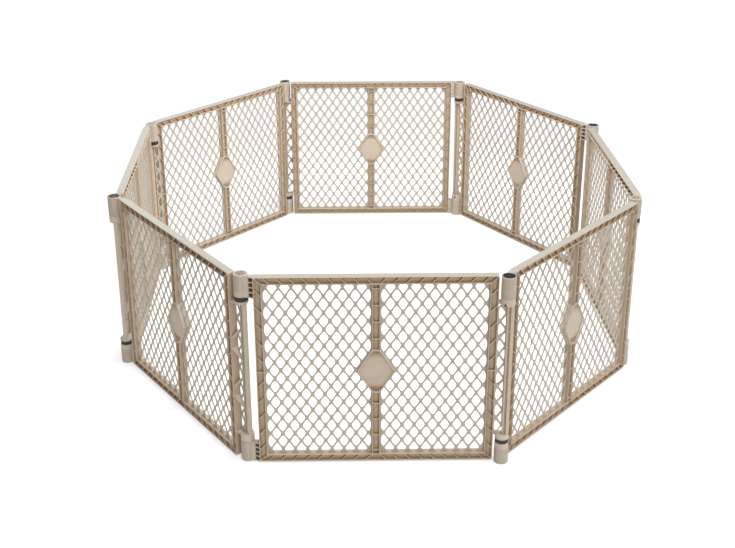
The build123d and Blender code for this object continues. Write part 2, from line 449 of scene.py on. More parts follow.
def even_angles(segments: int) -> np.ndarray:
    """Evenly spaced angles round a circle."""
    return np.linspace(0, 2 * np.pi, segments, endpoint=False)


def rounded_corner(corner: tuple[float, float], offsets: Offsets) -> np.ndarray:
    """Points that round a corner of a profile, from their offsets in radius and height."""
    return np.array(corner) + np.array(offsets)


def wrapped(angles: np.ndarray) -> np.ndarray:
    """Angles brought between minus and plus half a turn."""
    return (angles + np.pi) % (2 * np.pi) - np.pi


def square_wave(teeth: int) -> np.ndarray:
    """Gaps and teeth round a circle as 0 and 1, four points to a gap and its tooth."""
    return np.tile([0.0, 0.0, 1.0, 1.0], teeth)


def revolve(
    profile: np.ndarray,
    centre: tuple[float, float],
    angles: np.ndarray,
    sink: np.ndarray | float = 0.0,
) -> np.ndarray:
    """Turn a profile about a vertical axis.

    Args:
        profile: radius and height of each point, (points, 2).
        centre: place of the axis.
        angles: directions round the axis.
        sink: how far points lie nearer to the axis, one value or (points, angles).

    Returns:
        Grid (points, angles, 3): each radius, less its sink, times the cosine and sine of
        the angles.
    """
    radii = profile[:, :1] - sink
    x = centre[0] + radii * np.cos(angles)[None]
    y = centre[1] + radii * np.sin(angles)[None]
    z = np.broadcast_to(profile[:, 1:], x.shape)
    return np.stack([x, y, z], axis=-1)


CORNER_DRAW = 1.4  # a corner moves in by this many times the broken edge


def level_rings(outline: np.ndarray, low: float, high: float, edge: float) -> np.ndarray:
    """Level plate with broken edges.

    Args:
        outline: corners seen from above, (corners, 2).
        low: height of the underside.
        high: height of the top.
        edge: width of the broken edge.

    Returns:
        Four rings of corners: drawn in at the underside and the top, full in between.
    """
    centre = outline.mean(axis=0)
    away = outline - centre
    drawn = centre + away * (1 - edge / np.linalg.norm(away, axis=1, keepdims=True) * CORNER_DRAW)
    return np.stack(
        [level(drawn, low), level(outline, low + edge), level(outline, high - edge), level(drawn, high)]
    )


def upright_rings(outline: np.ndarray, front: float, back: float, edge: float) -> np.ndarray:
    """Upright plate with broken edges.

    Args:
        outline: corners in the panel's plane, (corners, 2).
        front: depth of one face.
        back: depth of the other face.
        edge: width of the broken edge.

    Returns:
        Four rings of corners: drawn in at both faces, full in between.
    """
    rings = level_rings(outline, front, back, edge)
    return rings[:, :, [0, 2, 1]]


RIB_TAPER = 0.85  # thickness at the top of a rib over that at its foot
RIB_FACES = [grid_quads(3, 4, wrap_cols=True)[:, ::-1], np.array([[8, 9, 10, 11], [3, 2, 1, 0]])]


def rib_solids(
    starts: np.ndarray, ends: np.ndarray, thickness: float, low: float, high: float, edge: float
) -> np.ndarray:
    """Straight ribs that stand on the web, thinner at the top and with a broken upper edge.

    Args:
        starts: first ends in the panel's plane, (ribs, 2).
        ends: second ends, (ribs, 2).
        thickness: thickness at the foot.
        low: depth of the foot.
        high: depth of the top.
        edge: width of the broken edge.

    Returns:
        Points (ribs, 12, 3): a rectangle at the foot, a narrower one a little below the top and
        the narrowest at the top.
    """
    along = ends - starts
    along = along / np.linalg.norm(along, axis=1, keepdims=True)
    across = np.stack([-along[:, 1], along[:, 0]], axis=1)
    upper = thickness * RIB_TAPER
    rings = []
    for width, y in ((thickness, low), (upper, high - edge), (upper - 2 * edge, high)):
        half = across * width / 2
        corners = np.stack([starts - half, ends - half, ends + half, starts + half], axis=1)
        depth = np.full((*corners.shape[:2], 1), y)
        rings.append(np.concatenate([corners[:, :, :1], depth, corners[:, :, 1:]], axis=2))
    return np.concatenate(rings, axis=1)


@dataclass(frozen=True)
class ShaderGraph:
    """Node tree of a material or the world, with the kinds of node that several looks share."""

    tree: bpy.types.NodeTree

    def node(self, kind: str) -> bpy.types.Node:
        """A new node."""
        return self.tree.nodes.new(kind)

    def link(self, source: bpy.types.NodeSocket, target: bpy.types.NodeSocket) -> None:
        """Join two sockets."""
        self.tree.links.new(source, target)

    def attribute(self, name: str) -> bpy.types.Node:
        """A node that reads an attribute of the mesh."""
        node = self.node("ShaderNodeAttribute")
        node.attribute_name = name
        return node

    def noise(self, vector: bpy.types.NodeSocket, scale: float, detail: float = 2.0) -> bpy.types.NodeSocket:
        """Noise over a vector.

        Args:
            vector: socket of the place.
            scale: scale of the noise.
            detail: number of finer layers.

        Returns:
            The socket of the noise, from 0 to 1.
        """
        node = self.node("ShaderNodeTexNoise")
        node.inputs["Scale"].default_value = scale
        node.inputs["Detail"].default_value = detail
        self.link(vector, node.inputs["Vector"])
        return node.outputs["Fac"]

    def spread(
        self,
        value: bpy.types.NodeSocket,
        source: tuple[float, float],
        target: tuple[float, float] = (0.0, 1.0),
        interpolation: str = "LINEAR",
    ) -> bpy.types.NodeSocket:
        """Spread part of a value's range over another range.

        Args:
            value: socket of the value.
            source: values that give the two ends of the target.
            target: both ends of the new range.
            interpolation: straight or smooth between the ends.

        Returns:
            The socket of the spread value, held at the ends.
        """
        node = self.node("ShaderNodeMapRange")
        node.interpolation_type = interpolation
        for name, end in zip(("From Min", "From Max", "To Min", "To Max"), (*source, *target)):
            node.inputs[name].default_value = end
        self.link(value, node.inputs["Value"])
        return node.outputs["Result"]

    def mix(
        self,
        factor: bpy.types.NodeSocket,
        first: tuple[float, float, float] | bpy.types.NodeSocket,
        second: tuple[float, float, float],
    ) -> bpy.types.NodeSocket:
        """Mix two colours.

        Args:
            factor: socket that gives the share of the second colour.
            first: first colour or its socket.
            second: second colour.

        Returns:
            The socket of the mixed colour.
        """
        node = self.node("ShaderNodeMix")
        node.data_type = "RGBA"
        self.link(factor, node.inputs["Factor"])
        colours = [socket for socket in node.inputs if socket.type == "RGBA"]
        if isinstance(first, tuple):
            colours[0].default_value = (*first, 1.0)
        else:
            self.link(first, colours[0])
        colours[1].default_value = (*second, 1.0)
        return next(socket for socket in node.outputs if socket.type == "RGBA")


@dataclass(frozen=True)
class FinishAndPaintedShading:
    """A moulded plastic whose look comes from noise in panel coordinates, with light and shade painted in by
    each point's tone.
    """

    slot: Slot
    base: tuple[float, float, float]
    pale: tuple[float, float, float]
    # cool, warm and shade are the colours of the painted light and shade; warm also tints the flow lines
    cool: tuple[float, float, float]
    warm: tuple[float, float, float]
    shade: tuple[float, float, float]
    roughness: tuple[float, float]
    mottle_scale: float
    grain_scale: float
    grain_height: float
    flow_scale: float
    mottle_detail: float = 4.0
    flow_detail: float = 3.0
    flow_stretch: tuple[float, float, float] = (1.0, 6.0, 5.0)
    streak_range: tuple[float, float] = (0.45, 0.75)
    streak_share: float = 0.16
    specular: float = 0.35
    grain_strength: float = 0.6
    # tone ranges over which cool, warm and shade are painted in
    cool_range: tuple[float, float] = (0.0, -0.5)
    warm_range: tuple[float, float] = (0.0, 0.5)
    shade_range: tuple[float, float] = (0.5, 1.0)

    def material(self) -> bpy.types.Material:
        """Build the material.

        Returns:
            A material with mottled colour, flow lines of the moulding, painted shade in corners,
            light and shade painted in by the tone elsewhere, uneven roughness and a fine grain in the
            surface.
        """
        material = bpy.data.materials.new(f"{self.slot.value}_moulded")
        material.use_nodes = True
        graph = ShaderGraph(material.node_tree)
        shader = graph.tree.nodes["Principled BSDF"]
        place = graph.attribute("panel_place").outputs["Vector"]
        painted_shading = graph.attribute("painted_shading").outputs["Fac"]
        stretch = graph.node("ShaderNodeMapping")
        stretch.inputs["Scale"].default_value = self.flow_stretch
        graph.link(place, stretch.inputs["Vector"])
        mottle = graph.noise(place, self.mottle_scale, self.mottle_detail)
        flow = graph.noise(stretch.outputs["Vector"], self.flow_scale, self.flow_detail)
        grain = graph.noise(place, self.grain_scale)
        colour = graph.mix(mottle, self.base, self.pale)
        # flow lines of the moulding first, then light and shade painted in by the tone
        layers = (
            (graph.spread(flow, self.streak_range, (0.0, self.streak_share)), self.warm),
            (graph.spread(painted_shading, self.cool_range), self.cool),
            (graph.spread(painted_shading, self.warm_range), self.warm),
            (graph.spread(painted_shading, self.shade_range), self.shade),
        )
        for factor, second in layers:
            colour = graph.mix(factor, colour, second)
        graph.link(colour, shader.inputs["Base Color"])
        graph.link(graph.spread(mottle, (0.0, 1.0), self.roughness), shader.inputs["Roughness"])
        shader.inputs["Specular IOR Level"].default_value = self.specular
        bump = graph.node("ShaderNodeBump")
        bump.inputs["Distance"].default_value = self.grain_height
        bump.inputs["Strength"].default_value = self.grain_strength
        graph.link(grain, bump.inputs["Height"])
        graph.link(bump.outputs["Normal"], shader.inputs["Normal"])
        return material


# cool, warm and shade are colours of painted light and shade; warm also tints the flow lines
BEIGE = FinishAndPaintedShading(
    slot=Slot.BEIGE,
    base=(0.378, 0.308, 0.238),
    pale=(0.445, 0.380, 0.308),
    cool=(0.270, 0.240, 0.195),
    warm=(0.310, 0.170, 0.060),
    shade=(0.050, 0.021, 0.008),
    roughness=(0.42, 0.58),
    mottle_scale=9.0,
    grain_scale=900.0,
    grain_height=0.00006,
    flow_scale=14.0,
)
BLACK = FinishAndPaintedShading(
    slot=Slot.BLACK,
    base=(0.020, 0.018, 0.024),
    pale=(0.036, 0.033, 0.042),
    cool=(0.020, 0.018, 0.024),
    warm=(0.012, 0.010, 0.014),
    shade=(0.004, 0.003, 0.005),
    roughness=(0.32, 0.50),
    mottle_scale=30.0,
    grain_scale=1200.0,
    grain_height=0.00005,
    flow_scale=40.0,
)


@dataclass(frozen=True)
class FrameMoulding:
    """Rails and stiles all round, and the mullion above and below the diamond plate."""

    sizes: PanelSizes = SIZES
    lip: float = 2.6
    lip_edge: tuple[float, float] = (0.4, 0.5)
    wall: float = 4.0
    edge: float = 0.9
    corner_radius: float = 6.0
    inner_radius: float = 2.0
    corner_steps: int = 6
    plate_half_height: float = 62.0
    # tones of painted light and shade: cool grey on level outer faces as light, shade on the outer sides and
    # in the channel
    rail_tone: float = -0.5
    side_tone: float = 0.18
    lip_tone: float = 0.06
    root_tone: float = 0.46
    foot_tone: float = 0.32
    floor_tone: float = 0.1

    def section(self, width: float) -> tuple[np.ndarray, np.ndarray]:
        """H section of a rail.

        Args:
            width: width of the rail.

        Returns:
            Inset and depth of each profile point, and its tone, which paints shade on the outer
            side and in the channel, deepest at the root of the wall. The walls thin from their root
            at the web to a lip with broken edges.
        """
        top = self.sizes.depth / 2
        floor = self.sizes.web / 2
        half = np.array(
            [
                [0.0, 0.0],
                [0.0, top - self.edge],
                [self.edge, top],
                [self.lip - self.lip_edge[0], top],
                [self.lip, top - self.lip_edge[1]],
                [self.wall, floor + self.edge],
                [self.wall + self.edge, floor],
            ]
        )
        other = half[::-1] * np.array([-1.0, 1.0]) + np.array([width, 0.0])
        profile = np.concatenate([half, [[width / 2, floor]], other])
        # painted shade in the channel, deepest at the root of the wall, and on the outer side
        channel = [self.lip_tone, self.root_tone, self.foot_tone]
        tone_half = np.array([self.side_tone, self.side_tone, 0.0, 0.0, *channel])
        painted_shading = np.concatenate([tone_half, [self.floor_tone], tone_half[::-1]])
        back = profile[1:-1][::-1] * np.array([1.0, -1.0])
        return np.concatenate([profile, back]), np.concatenate([painted_shading, painted_shading[1:-1][::-1]])

    def perimeter(self) -> tuple[np.ndarray, np.ndarray]:
        """Rail section carried round a rounded rectangle.

        Returns:
            Grid and the tone of every point. Each profile point follows its own rounded
            rectangle, smaller by its inset, with a corner radius that shrinks from the outer to
            the inner edge. The outer face is painted cool grey with the upright part of its normal, as
            painted light on level faces.
        """
        sizes = self.sizes
        section, painted_shading = self.section(sizes.rail)
        half_x, half_z = sizes.half_frame
        share = section[:, 0] / sizes.rail
        radii = self.corner_radius + (self.inner_radius - self.corner_radius) * share
        rings = []
        for (inset, y), radius in zip(section, radii):
            half = (half_x - inset - radius, half_z - inset - radius)
            outline = rounded_outline(rectangle_core(sizes.centre, half), radius, self.corner_steps)
            rings.append(upright(outline, y))
        # painted light: level outer faces are painted cool grey
        turn = np.sin(np.linspace(0, np.pi / 2, self.corner_steps))
        lift = np.concatenate([turn, turn[::-1], turn, turn[::-1]])
        outer = section[:, :1] == 0.0
        return np.stack(rings), painted_shading[:, None] + outer * (self.rail_tone - self.side_tone) * lift

    def mullion_part(self, low: float, high: float) -> tuple[np.ndarray, np.ndarray]:
        """H section carried upright between two heights.

        Args:
            low: lower end.
            high: upper end.

        Returns:
            Rings at both ends and the tone of their points.
        """
        section, painted_shading = self.section(self.sizes.mullion)
        left = self.sizes.middle_x - self.sizes.mullion / 2
        rings = [
            np.stack([left + section[:, 0], section[:, 1], np.full(len(section), z)], axis=1)
            for z in (low, high)
        ]
        return np.stack(rings), np.stack([painted_shading, painted_shading])

    def build(self) -> Surface:
        """Gather the frame."""
        surface = Surface()
        surface.torus(*self.perimeter())
        sizes = self.sizes
        inside = sizes.rail - self.wall
        low = sizes.frame_inset + inside
        high = sizes.height - sizes.frame_inset - inside
        spans = (
            (low, sizes.middle_z - self.plate_half_height),
            (sizes.middle_z + self.plate_half_height, high),
        )
        for start, end in spans:
            surface.loft(*self.mullion_part(start, end))
        return surface


@dataclass(frozen=True)
class DiamondPlate:
    """Diamond plate in the middle of the mullion: a flat web and a plate with a rim and dished faces."""

    sizes: PanelSizes = SIZES
    half_width: float = 59.5
    half_height: float = 76.0
    end_half: float = 12.5
    tip_radius: float = 11.0
    radius_loss: float = 0.7
    least_radius: float = 2.0
    least_end: float = 0.2
    steps: int = 9
    side_steps: int = 8
    edge: float = 1.0
    rim: float = 3.6
    rim_edge: tuple[float, float] = (0.6, 0.7)
    rim_foot: float = 1.7
    dish_insets: tuple[float, ...] = (30.0, 22.0, 16.0, 11.0, 7.5)
    recess: float = 4.2
    flat_half: float = 43.0
    slope_half: float = 68.0
    slope_drop: float = 4.4
    web_tip: float = 64.0
    web_thickness: float = 4.2
    web_edge: float = 0.3
    tip_ribs: tuple[float, ...] = (-4.3, 4.3)
    rib_ends: tuple[float, float] = (20.0, 4.4)
    rib_thickness: float = 2.2
    rib_embed: float = 1.0
    rib_rise: float = 1.6
    rib_edge: float = 0.4
    # tones of painted shade: cooler grey on the recessed web, darker towards the dish's ends and at the rim's
    # foot
    web_tone: float = -0.1
    face_tone: float = 0.03
    end_tone: float = 0.4
    foot_tone: float = 0.3
    rib_tone: float = 0.04

    def outline(self, inset: float) -> np.ndarray:
        """Outline of the plate set in from its edge.

        Args:
            inset: distance from the edge.

        Returns:
            A diamond with blunt upper and lower ends and round corners. The slanting sides and
            the blunt ends move in by the inset, and the corners lie where they meet. Points
            are spread evenly along the sides.
        """
        radius = max(self.tip_radius - self.radius_loss * inset, self.least_radius)
        run = self.half_width - self.end_half
        slant = math.hypot(run, self.half_height)
        away = self.half_width - (inset + radius) * slant / self.half_height
        top = self.half_height - inset - radius
        end = max(away - run * top / self.half_height, self.least_end)
        top = min(top, (away - end) * self.half_height / run)
        core = np.array([(away, 0), (end, top), (-end, top), (-away, 0), (-end, -top), (end, -top)])
        core = core + self.sizes.centre
        corners = rounded_outline(core, radius, self.steps).reshape(len(core), self.steps, 2)
        shares = np.linspace(0, 1, self.side_steps + 2)[None, 1:-1, None]
        sides = corners[:, -1:] * (1 - shares) + np.roll(corners, -1, axis=0)[:, :1] * shares
        return np.concatenate([corners, sides], axis=1).reshape(-1, 2)

    def dish(self, inset: float) -> tuple[np.ndarray, np.ndarray]:
        """Ring of points on the dished face.

        Args:
            inset: distance from the edge.

        Returns:
            Points and tones. The face is level in the middle and slopes down smoothly towards
            the upper and lower ends, where painted shade makes it darker.
        """
        ring = upright(self.outline(inset), self.sizes.depth / 2 - self.recess)
        height = np.abs(ring[:, 2] - self.sizes.middle_z)
        share = np.clip((height - self.flat_half) / (self.slope_half - self.flat_half), 0, 1)
        fall = share * share * (3 - 2 * share)
        ring[:, 1] -= self.slope_drop * fall
        return ring, self.face_tone + self.end_tone * fall

    def build(self) -> Surface:
        """Gather the web, the plate and the small upright ribs at its ends."""
        surface = Surface()
        sizes = self.sizes
        tip, side = self.web_tip, sizes.mullion / 2
        high = (tip - side) * (sizes.pitch_z / sizes.pitch_x)
        web = np.array([(tip, 0), (side, high), (-side, high), (-tip, 0), (-side, -high), (side, -high)])
        half = self.web_thickness / 2
        surface.loft(upright_rings(web + sizes.centre, -half, half, self.web_edge), self.web_tone)
        top = sizes.depth / 2
        foot, foot_tone = self.dish(self.rim + self.rim_foot)
        steps = [self.dish(inset) for inset in self.dish_insets]
        # painted shade at the foot of the rim
        steps.append((foot, foot_tone + self.foot_tone))
        insets = (self.rim, self.rim - self.rim_edge[0], self.edge, 0.0)
        for inset, y in zip(insets, (top - self.rim_edge[1], top, top, top - self.edge)):
            steps.append((upright(self.outline(inset), y), np.zeros(len(foot))))
        rings = [ring for ring, _ in steps] + [ring * BOTH_FACES[1] for ring, _ in reversed(steps)]
        tones = [painted_shading for _, painted_shading in steps] + [painted_shading for _, painted_shading in reversed(steps)]
        surface.loft(np.stack(rings), np.stack(tones))
        self._tip_ribs(surface, top - self.recess)
        return surface

    def _tip_ribs(self, surface: Surface, face: float) -> None:
        """Add short ribs that stand in the deep ends of the dish.

        Args:
            surface: surface of the plate.
            face: depth of the level part of the face.
        """
        signs = np.array([(x, z) for x in self.tip_ribs for z in (-1.0, 1.0)])
        starts, ends = (self.sizes.centre + signs * (1.0, self.half_height - end) for end in self.rib_ends)
        low = face - self.slope_drop - self.rib_embed
        solids = rib_solids(starts, ends, self.rib_thickness, low, face + self.rib_rise, self.rib_edge)
        for factors in BOTH_FACES:
            surface.add_copies(solids * factors, RIB_FACES, self.rib_tone)


@dataclass(frozen=True)
class RibSet:
    """Slanting ribs in the channels of both faces, one for each pitch of the lattice."""

    sizes: PanelSizes = SIZES
    thickness: float = 2.6
    edge: float = 0.45
    wall: float = 3.2
    embed: float = 0.5
    below_lip: float = 0.5
    first_rib: float = 14.0
    rail_lean: float = 17.0
    stile_lean: float = 20.0
    stile_phase: float = 0.25
    rails_per_half: int = 9
    stiles_per_half: int = 5
    mullion_margin: float = 6.0
    plate_half_height: float = 80.0
    # painted shade on the sides of the ribs, darkest at the foot
    foot_tone: float = 0.7

    def lines(self) -> tuple[np.ndarray, np.ndarray]:
        """Both ends of every rib.

        Returns:
            Inner and outer ends. A quarter of the frame's ribs is worked out and mirrored to
            the other three, so that the outer end of a slanting rib always lies farther from
            the middle of the panel. The mullion's ribs and the ribs half-way up the stiles are
            level.
        """
        sizes = self.sizes
        far = np.array(sizes.half_frame) - self.wall
        near = np.array(sizes.half_frame) - (sizes.rail - self.wall)
        numbers = np.arange(1, self.stiles_per_half + 1)
        rail_x = self.first_rib + np.arange(self.rails_per_half) * sizes.pitch_x
        stile_z = (numbers - self.stile_phase) * sizes.pitch_z - self.stile_lean / 2
        quarter = [((x, near[1]), (x + self.rail_lean, far[1])) for x in rail_x]
        quarter += [((near[0], z), (far[0], z + self.stile_lean)) for z in stile_z]
        quarter.append((near, far))
        reach = sizes.mullion / 2 - self.wall
        highest = sizes.half_frame[1] - sizes.rail - self.mullion_margin
        heights = numbers * sizes.pitch_z
        heights = heights[(heights > self.plate_half_height) & (heights < highest)]
        groups = (
            (quarter, ((-1, -1), (-1, 1), (1, -1), (1, 1))),
            ([((-reach, z), (reach, z)) for z in heights], ((1, -1), (1, 1))),
            ([((near[0], 0.0), (far[0], 0.0))], ((-1, 1), (1, 1))),
        )
        mirrored = [np.array(group) * np.array(sign) for group, signs in groups for sign in signs]
        lines = np.concatenate(mirrored) + sizes.centre
        return lines[:, 0], lines[:, 1]

    def build(self) -> Surface:
        """Gather the ribs of both faces."""
        surface = Surface()
        starts, ends = self.lines()
        low = self.sizes.web / 2 - self.embed
        high = self.sizes.depth / 2 - self.below_lip
        solids = rib_solids(starts, ends, self.thickness, low, high, self.edge)
        # painted shade, darkest at the foot of each rib
        painted_shading = np.repeat([self.foot_tone, 0.0, 0.0], 4)
        for factors in BOTH_FACES:
            surface.add_copies(solids * factors, RIB_FACES, painted_shading)
        return surface


@dataclass(frozen=True)
class LatticeField:
    """A thin sheet with a rounded hole in every diamond of a lattice."""

    centre: tuple[float, float]
    pitch: tuple[float, float]
    low: tuple[float, float]
    high: tuple[float, float]
    border: tuple[float, float]
    plate: tuple[float, float, float] | None = None
    bar: float = 5.3
    plate_border: float = 3.0
    embed: float = 10.0
    thickness: float = 3.6
    depth_at: float = 0.0
    edge: float = 0.8
    roundness: float = 4.1
    cut_roundness: float = 8.0
    smallest: float = 3.2
    # painted shade: the recessed sheet is painted a cooler, darker grey
    painted_shading: float = -0.2
    touch: float = 0.01
    least_cut: float = 0.1
    least_edge: float = 0.02
    least_gap: float = 0.2
    middle_band: float = 1.0
    out_of_reach: float = 1000.0
    side_shares: tuple[float, ...] = (0.0, 0.1, 0.32, 0.68, 0.9)
    cut_shares: tuple[float, ...] = (0.0, 0.04, 0.1, 0.2, 0.34, 0.5, 0.66, 0.8, 0.9, 0.96)

    def sides(self, whole: bool) -> np.ndarray:
        """Points on the four sides of a diamond, from its middle.

        Args:
            whole: true for whole diamonds, false for those that are cut off, which take more.

        Returns:
            Points, one per row, corner by corner.
        """
        corners = diamond_core((0.0, 0.0), (self.pitch[0] / 2, self.pitch[1] / 2))
        shares = np.array(self.side_shares if whole else self.cut_shares)[None, :, None]
        points = corners[:, None] * (1 - shares) + np.roll(corners, -1, axis=0)[:, None] * shares
        return points.reshape(-1, 2)

    def centres(self) -> np.ndarray:
        """Middles of all diamonds that touch the field, in two interleaved rows."""
        count_x = int((self.high[0] - self.low[0]) / self.pitch[0]) + 3
        count_z = int((self.high[1] - self.low[1]) / self.pitch[1]) + 3
        i, j = np.meshgrid(np.arange(-count_x, count_x + 1), np.arange(-count_z, count_z + 1))
        grid = np.stack([i.ravel(), j.ravel()], axis=1).astype(float)
        both = np.concatenate([grid + (0.0, 0.5), grid + (0.5, 0.0)])
        return np.array(self.centre) + both * np.array(self.pitch)

    def clip_lines(self, centres: np.ndarray) -> tuple[np.ndarray, np.ndarray, np.ndarray]:
        """Lines that cut the field off.

        Args:
            centres: middles of the diamonds.

        Returns:
            Normals (lines, 2), distances (diamonds, lines) and borders (lines). The plate
            gives two lines, its upper side for diamonds above its middle and its lower
            side for those below.
        """
        normals = [(-1.0, 0.0), (1.0, 0.0), (0.0, -1.0), (0.0, 1.0)]
        distances = [
            centres[:, 0] - self.low[0],
            self.high[0] - centres[:, 0],
            centres[:, 1] - self.low[1],
            self.high[1] - centres[:, 1],
        ]
        borders = [self.border[0], self.border[0], self.border[1], self.border[1]]
        if self.plate is not None:
            plate_x, half_width, half_height = self.plate
            towards = math.copysign(1.0, plate_x - self.centre[0])
            slant = math.hypot(half_width, half_height)
            for side in (1.0, -1.0):
                normal = np.array([towards * half_height, -side * half_width]) / slant
                tip = np.array([plate_x - towards * half_width, self.centre[1]])
                distance = (tip - centres) @ normal
                beyond = side * (centres[:, 1] - self.centre[1]) < -self.middle_band
                normals.append(tuple(normal))
                distances.append(np.where(beyond, self.out_of_reach, distance))
                borders.append(self.plate_border)
        return np.array(normals), np.stack(distances, axis=1), np.array(borders)

    def cells(self, whole: bool) -> tuple[np.ndarray, np.ndarray, np.ndarray, np.ndarray]:
        """Middle, directions, outer edge and hole of the diamonds that are left inside the field.

        Args:
            whole: true for whole diamonds, false for those that are cut off.

        Returns:
            Middles (cells, 2), unit directions from the middle of what is left to points on
            the diamond's sides (cells, directions, 2), and distances to the outer edge and to
            the hole's edge along them (cells, directions). With closeness as the cosine to a
            line's normal over the line's distance, the edge is one over the largest
            closeness, and the hole one over a power mean of them all, which rounds its corners.
        """
        half = np.array(self.pitch) / 2
        middles = self.centres()
        normals, distances, borders = self.clip_lines(middles)
        support = np.maximum(np.abs(normals[:, 0]) * half[0], np.abs(normals[:, 1]) * half[1])
        touched = (distances < support[None] + self.touch).any(axis=1)
        chosen = (distances + support[None] > self.least_cut).all(axis=1) & (touched != whole)
        middles, distances = middles[chosen], distances[chosen]
        cut = (np.minimum(distances, support[None]) - support[None]) / 2
        moved = middles + cut @ normals
        slant = math.hypot(*half)
        side_normals = rectangle_core((0.0, 0.0), half[::-1]) / slant
        reach = half[0] * half[1] / slant
        side_distances = reach - (moved - middles) @ side_normals.T
        clip_distances = distances - (moved - middles) @ normals.T
        outer = np.concatenate([side_distances, clip_distances + self.embed], axis=1)
        holes = np.concatenate([side_distances - self.bar / 2, clip_distances - borders[None]], axis=1)
        sound = (outer > self.least_edge).all(axis=1)
        middles, moved, outer, holes = middles[sound], moved[sound], outer[sound], holes[sound]
        towards = self.sides(whole)[None] + (middles - moved)[:, None]
        towards = towards / np.linalg.norm(towards, axis=2, keepdims=True)
        all_normals = np.concatenate([side_normals, normals])
        lean = np.maximum(np.einsum("cdk,nk->cnd", towards, all_normals), 0.0)
        edge = 1.0 / (lean / outer[:, :, None]).max(axis=1)
        safe = np.maximum(holes, self.least_gap)
        power = self.roundness if whole else self.cut_roundness
        hole = ((lean / safe[:, :, None]) ** power).sum(axis=1) ** (-1.0 / power)
        is_open = (holes > self.smallest).all(axis=1)
        hole = np.where(is_open[:, None], np.minimum(hole, edge - self.edge - self.least_gap), 0.0)
        return moved, towards, edge, hole

    def build(self, surface: Surface) -> None:
        """Add the sheet to a surface, whole diamonds first and then those that are cut off."""
        for whole in (True, False):
            middles, towards, edge, hole = self.cells(whole)
            is_open = hole[:, 0] > 0
            if is_open.any():
                self._rings(surface, middles[is_open], towards[is_open], edge[is_open], hole[is_open])
            if not is_open.all():
                self._fans(surface, middles[~is_open], towards[~is_open], edge[~is_open])

    def _layer(self, middles: np.ndarray, towards: np.ndarray, radii: np.ndarray, y: float) -> np.ndarray:
        """Points round every middle at a depth.

        Args:
            middles: middles of the diamonds.
            towards: unit directions of every diamond.
            radii: distance along each direction.
            y: depth from the middle of the sheet.

        Returns:
            Points (cells, directions, 3).
        """
        plane = middles[:, None] + radii[:, :, None] * towards
        depth = np.full((*plane.shape[:2], 1), self.depth_at + y)
        return np.concatenate([plane[:, :, :1], depth, plane[:, :, 1:]], axis=2)

    def _rings(
        self, surface: Surface, middles: np.ndarray, towards: np.ndarray, edge: np.ndarray, hole: np.ndarray
    ) -> None:
        """Add diamonds with a hole, as rings from the front edge through the hole to the back edge.

        Args:
            surface: surface that takes the faces.
            middles: middles of these diamonds.
            towards: their unit directions.
            edge: distances to their outer edges.
            hole: distances to the edges of their holes.
        """
        top = self.thickness / 2
        profile = (
            (edge, top),
            (hole + self.edge, top),
            (hole, top - self.edge),
            (hole, self.edge - top),
            (hole + self.edge, -top),
            (edge, -top),
        )
        cells = np.stack([self._layer(middles, towards, radii, y) for radii, y in profile], axis=1)
        count, rows, cols, _ = cells.shape
        quads = grid_quads(rows, cols, wrap_cols=True)[:, ::-1]
        surface.add(cells, [repeated(quads, count, rows * cols)], self.painted_shading)

    def _fans(self, surface: Surface, middles: np.ndarray, towards: np.ndarray, edge: np.ndarray) -> None:
        """Add both faces of the diamonds that are too small for a hole.

        Args:
            surface: surface that takes the faces.
            middles: middles of these diamonds.
            towards: their unit directions.
            edge: distances to their outer edges.
        """
        count, cols = edge.shape
        top = self.thickness / 2
        numbers = np.arange(count * cols).reshape(count, cols)
        surface.add(self._layer(middles, towards, edge, top), [numbers[:, ::-1]], self.painted_shading)
        surface.add(self._layer(middles, towards, edge, -top), [numbers], self.painted_shading)


@dataclass(frozen=True)
class Grille:
    """The lattice of both bays."""

    sizes: PanelSizes = SIZES
    side_border: float = 3.2
    end_border: float = 1.5
    plate_half_width: float = 55.5
    plate_half_height: float = 74.0

    def build(self) -> Surface:
        """Gather both bays."""
        surface = Surface()
        sizes = self.sizes
        low_z = sizes.frame_inset + sizes.rail
        spans = (
            (sizes.left + sizes.rail, sizes.middle_x - sizes.mullion / 2),
            (sizes.middle_x + sizes.mullion / 2, sizes.right - sizes.rail),
        )
        for left, right in spans:
            LatticeField(
                centre=((left + right) / 2, sizes.middle_z),
                pitch=(sizes.pitch_x, sizes.pitch_z),
                low=(left, low_z),
                high=(right, sizes.height - low_z),
                border=(self.side_border, self.end_border),
                plate=(sizes.middle_x, self.plate_half_width, self.plate_half_height),
            ).build(surface)
        return surface


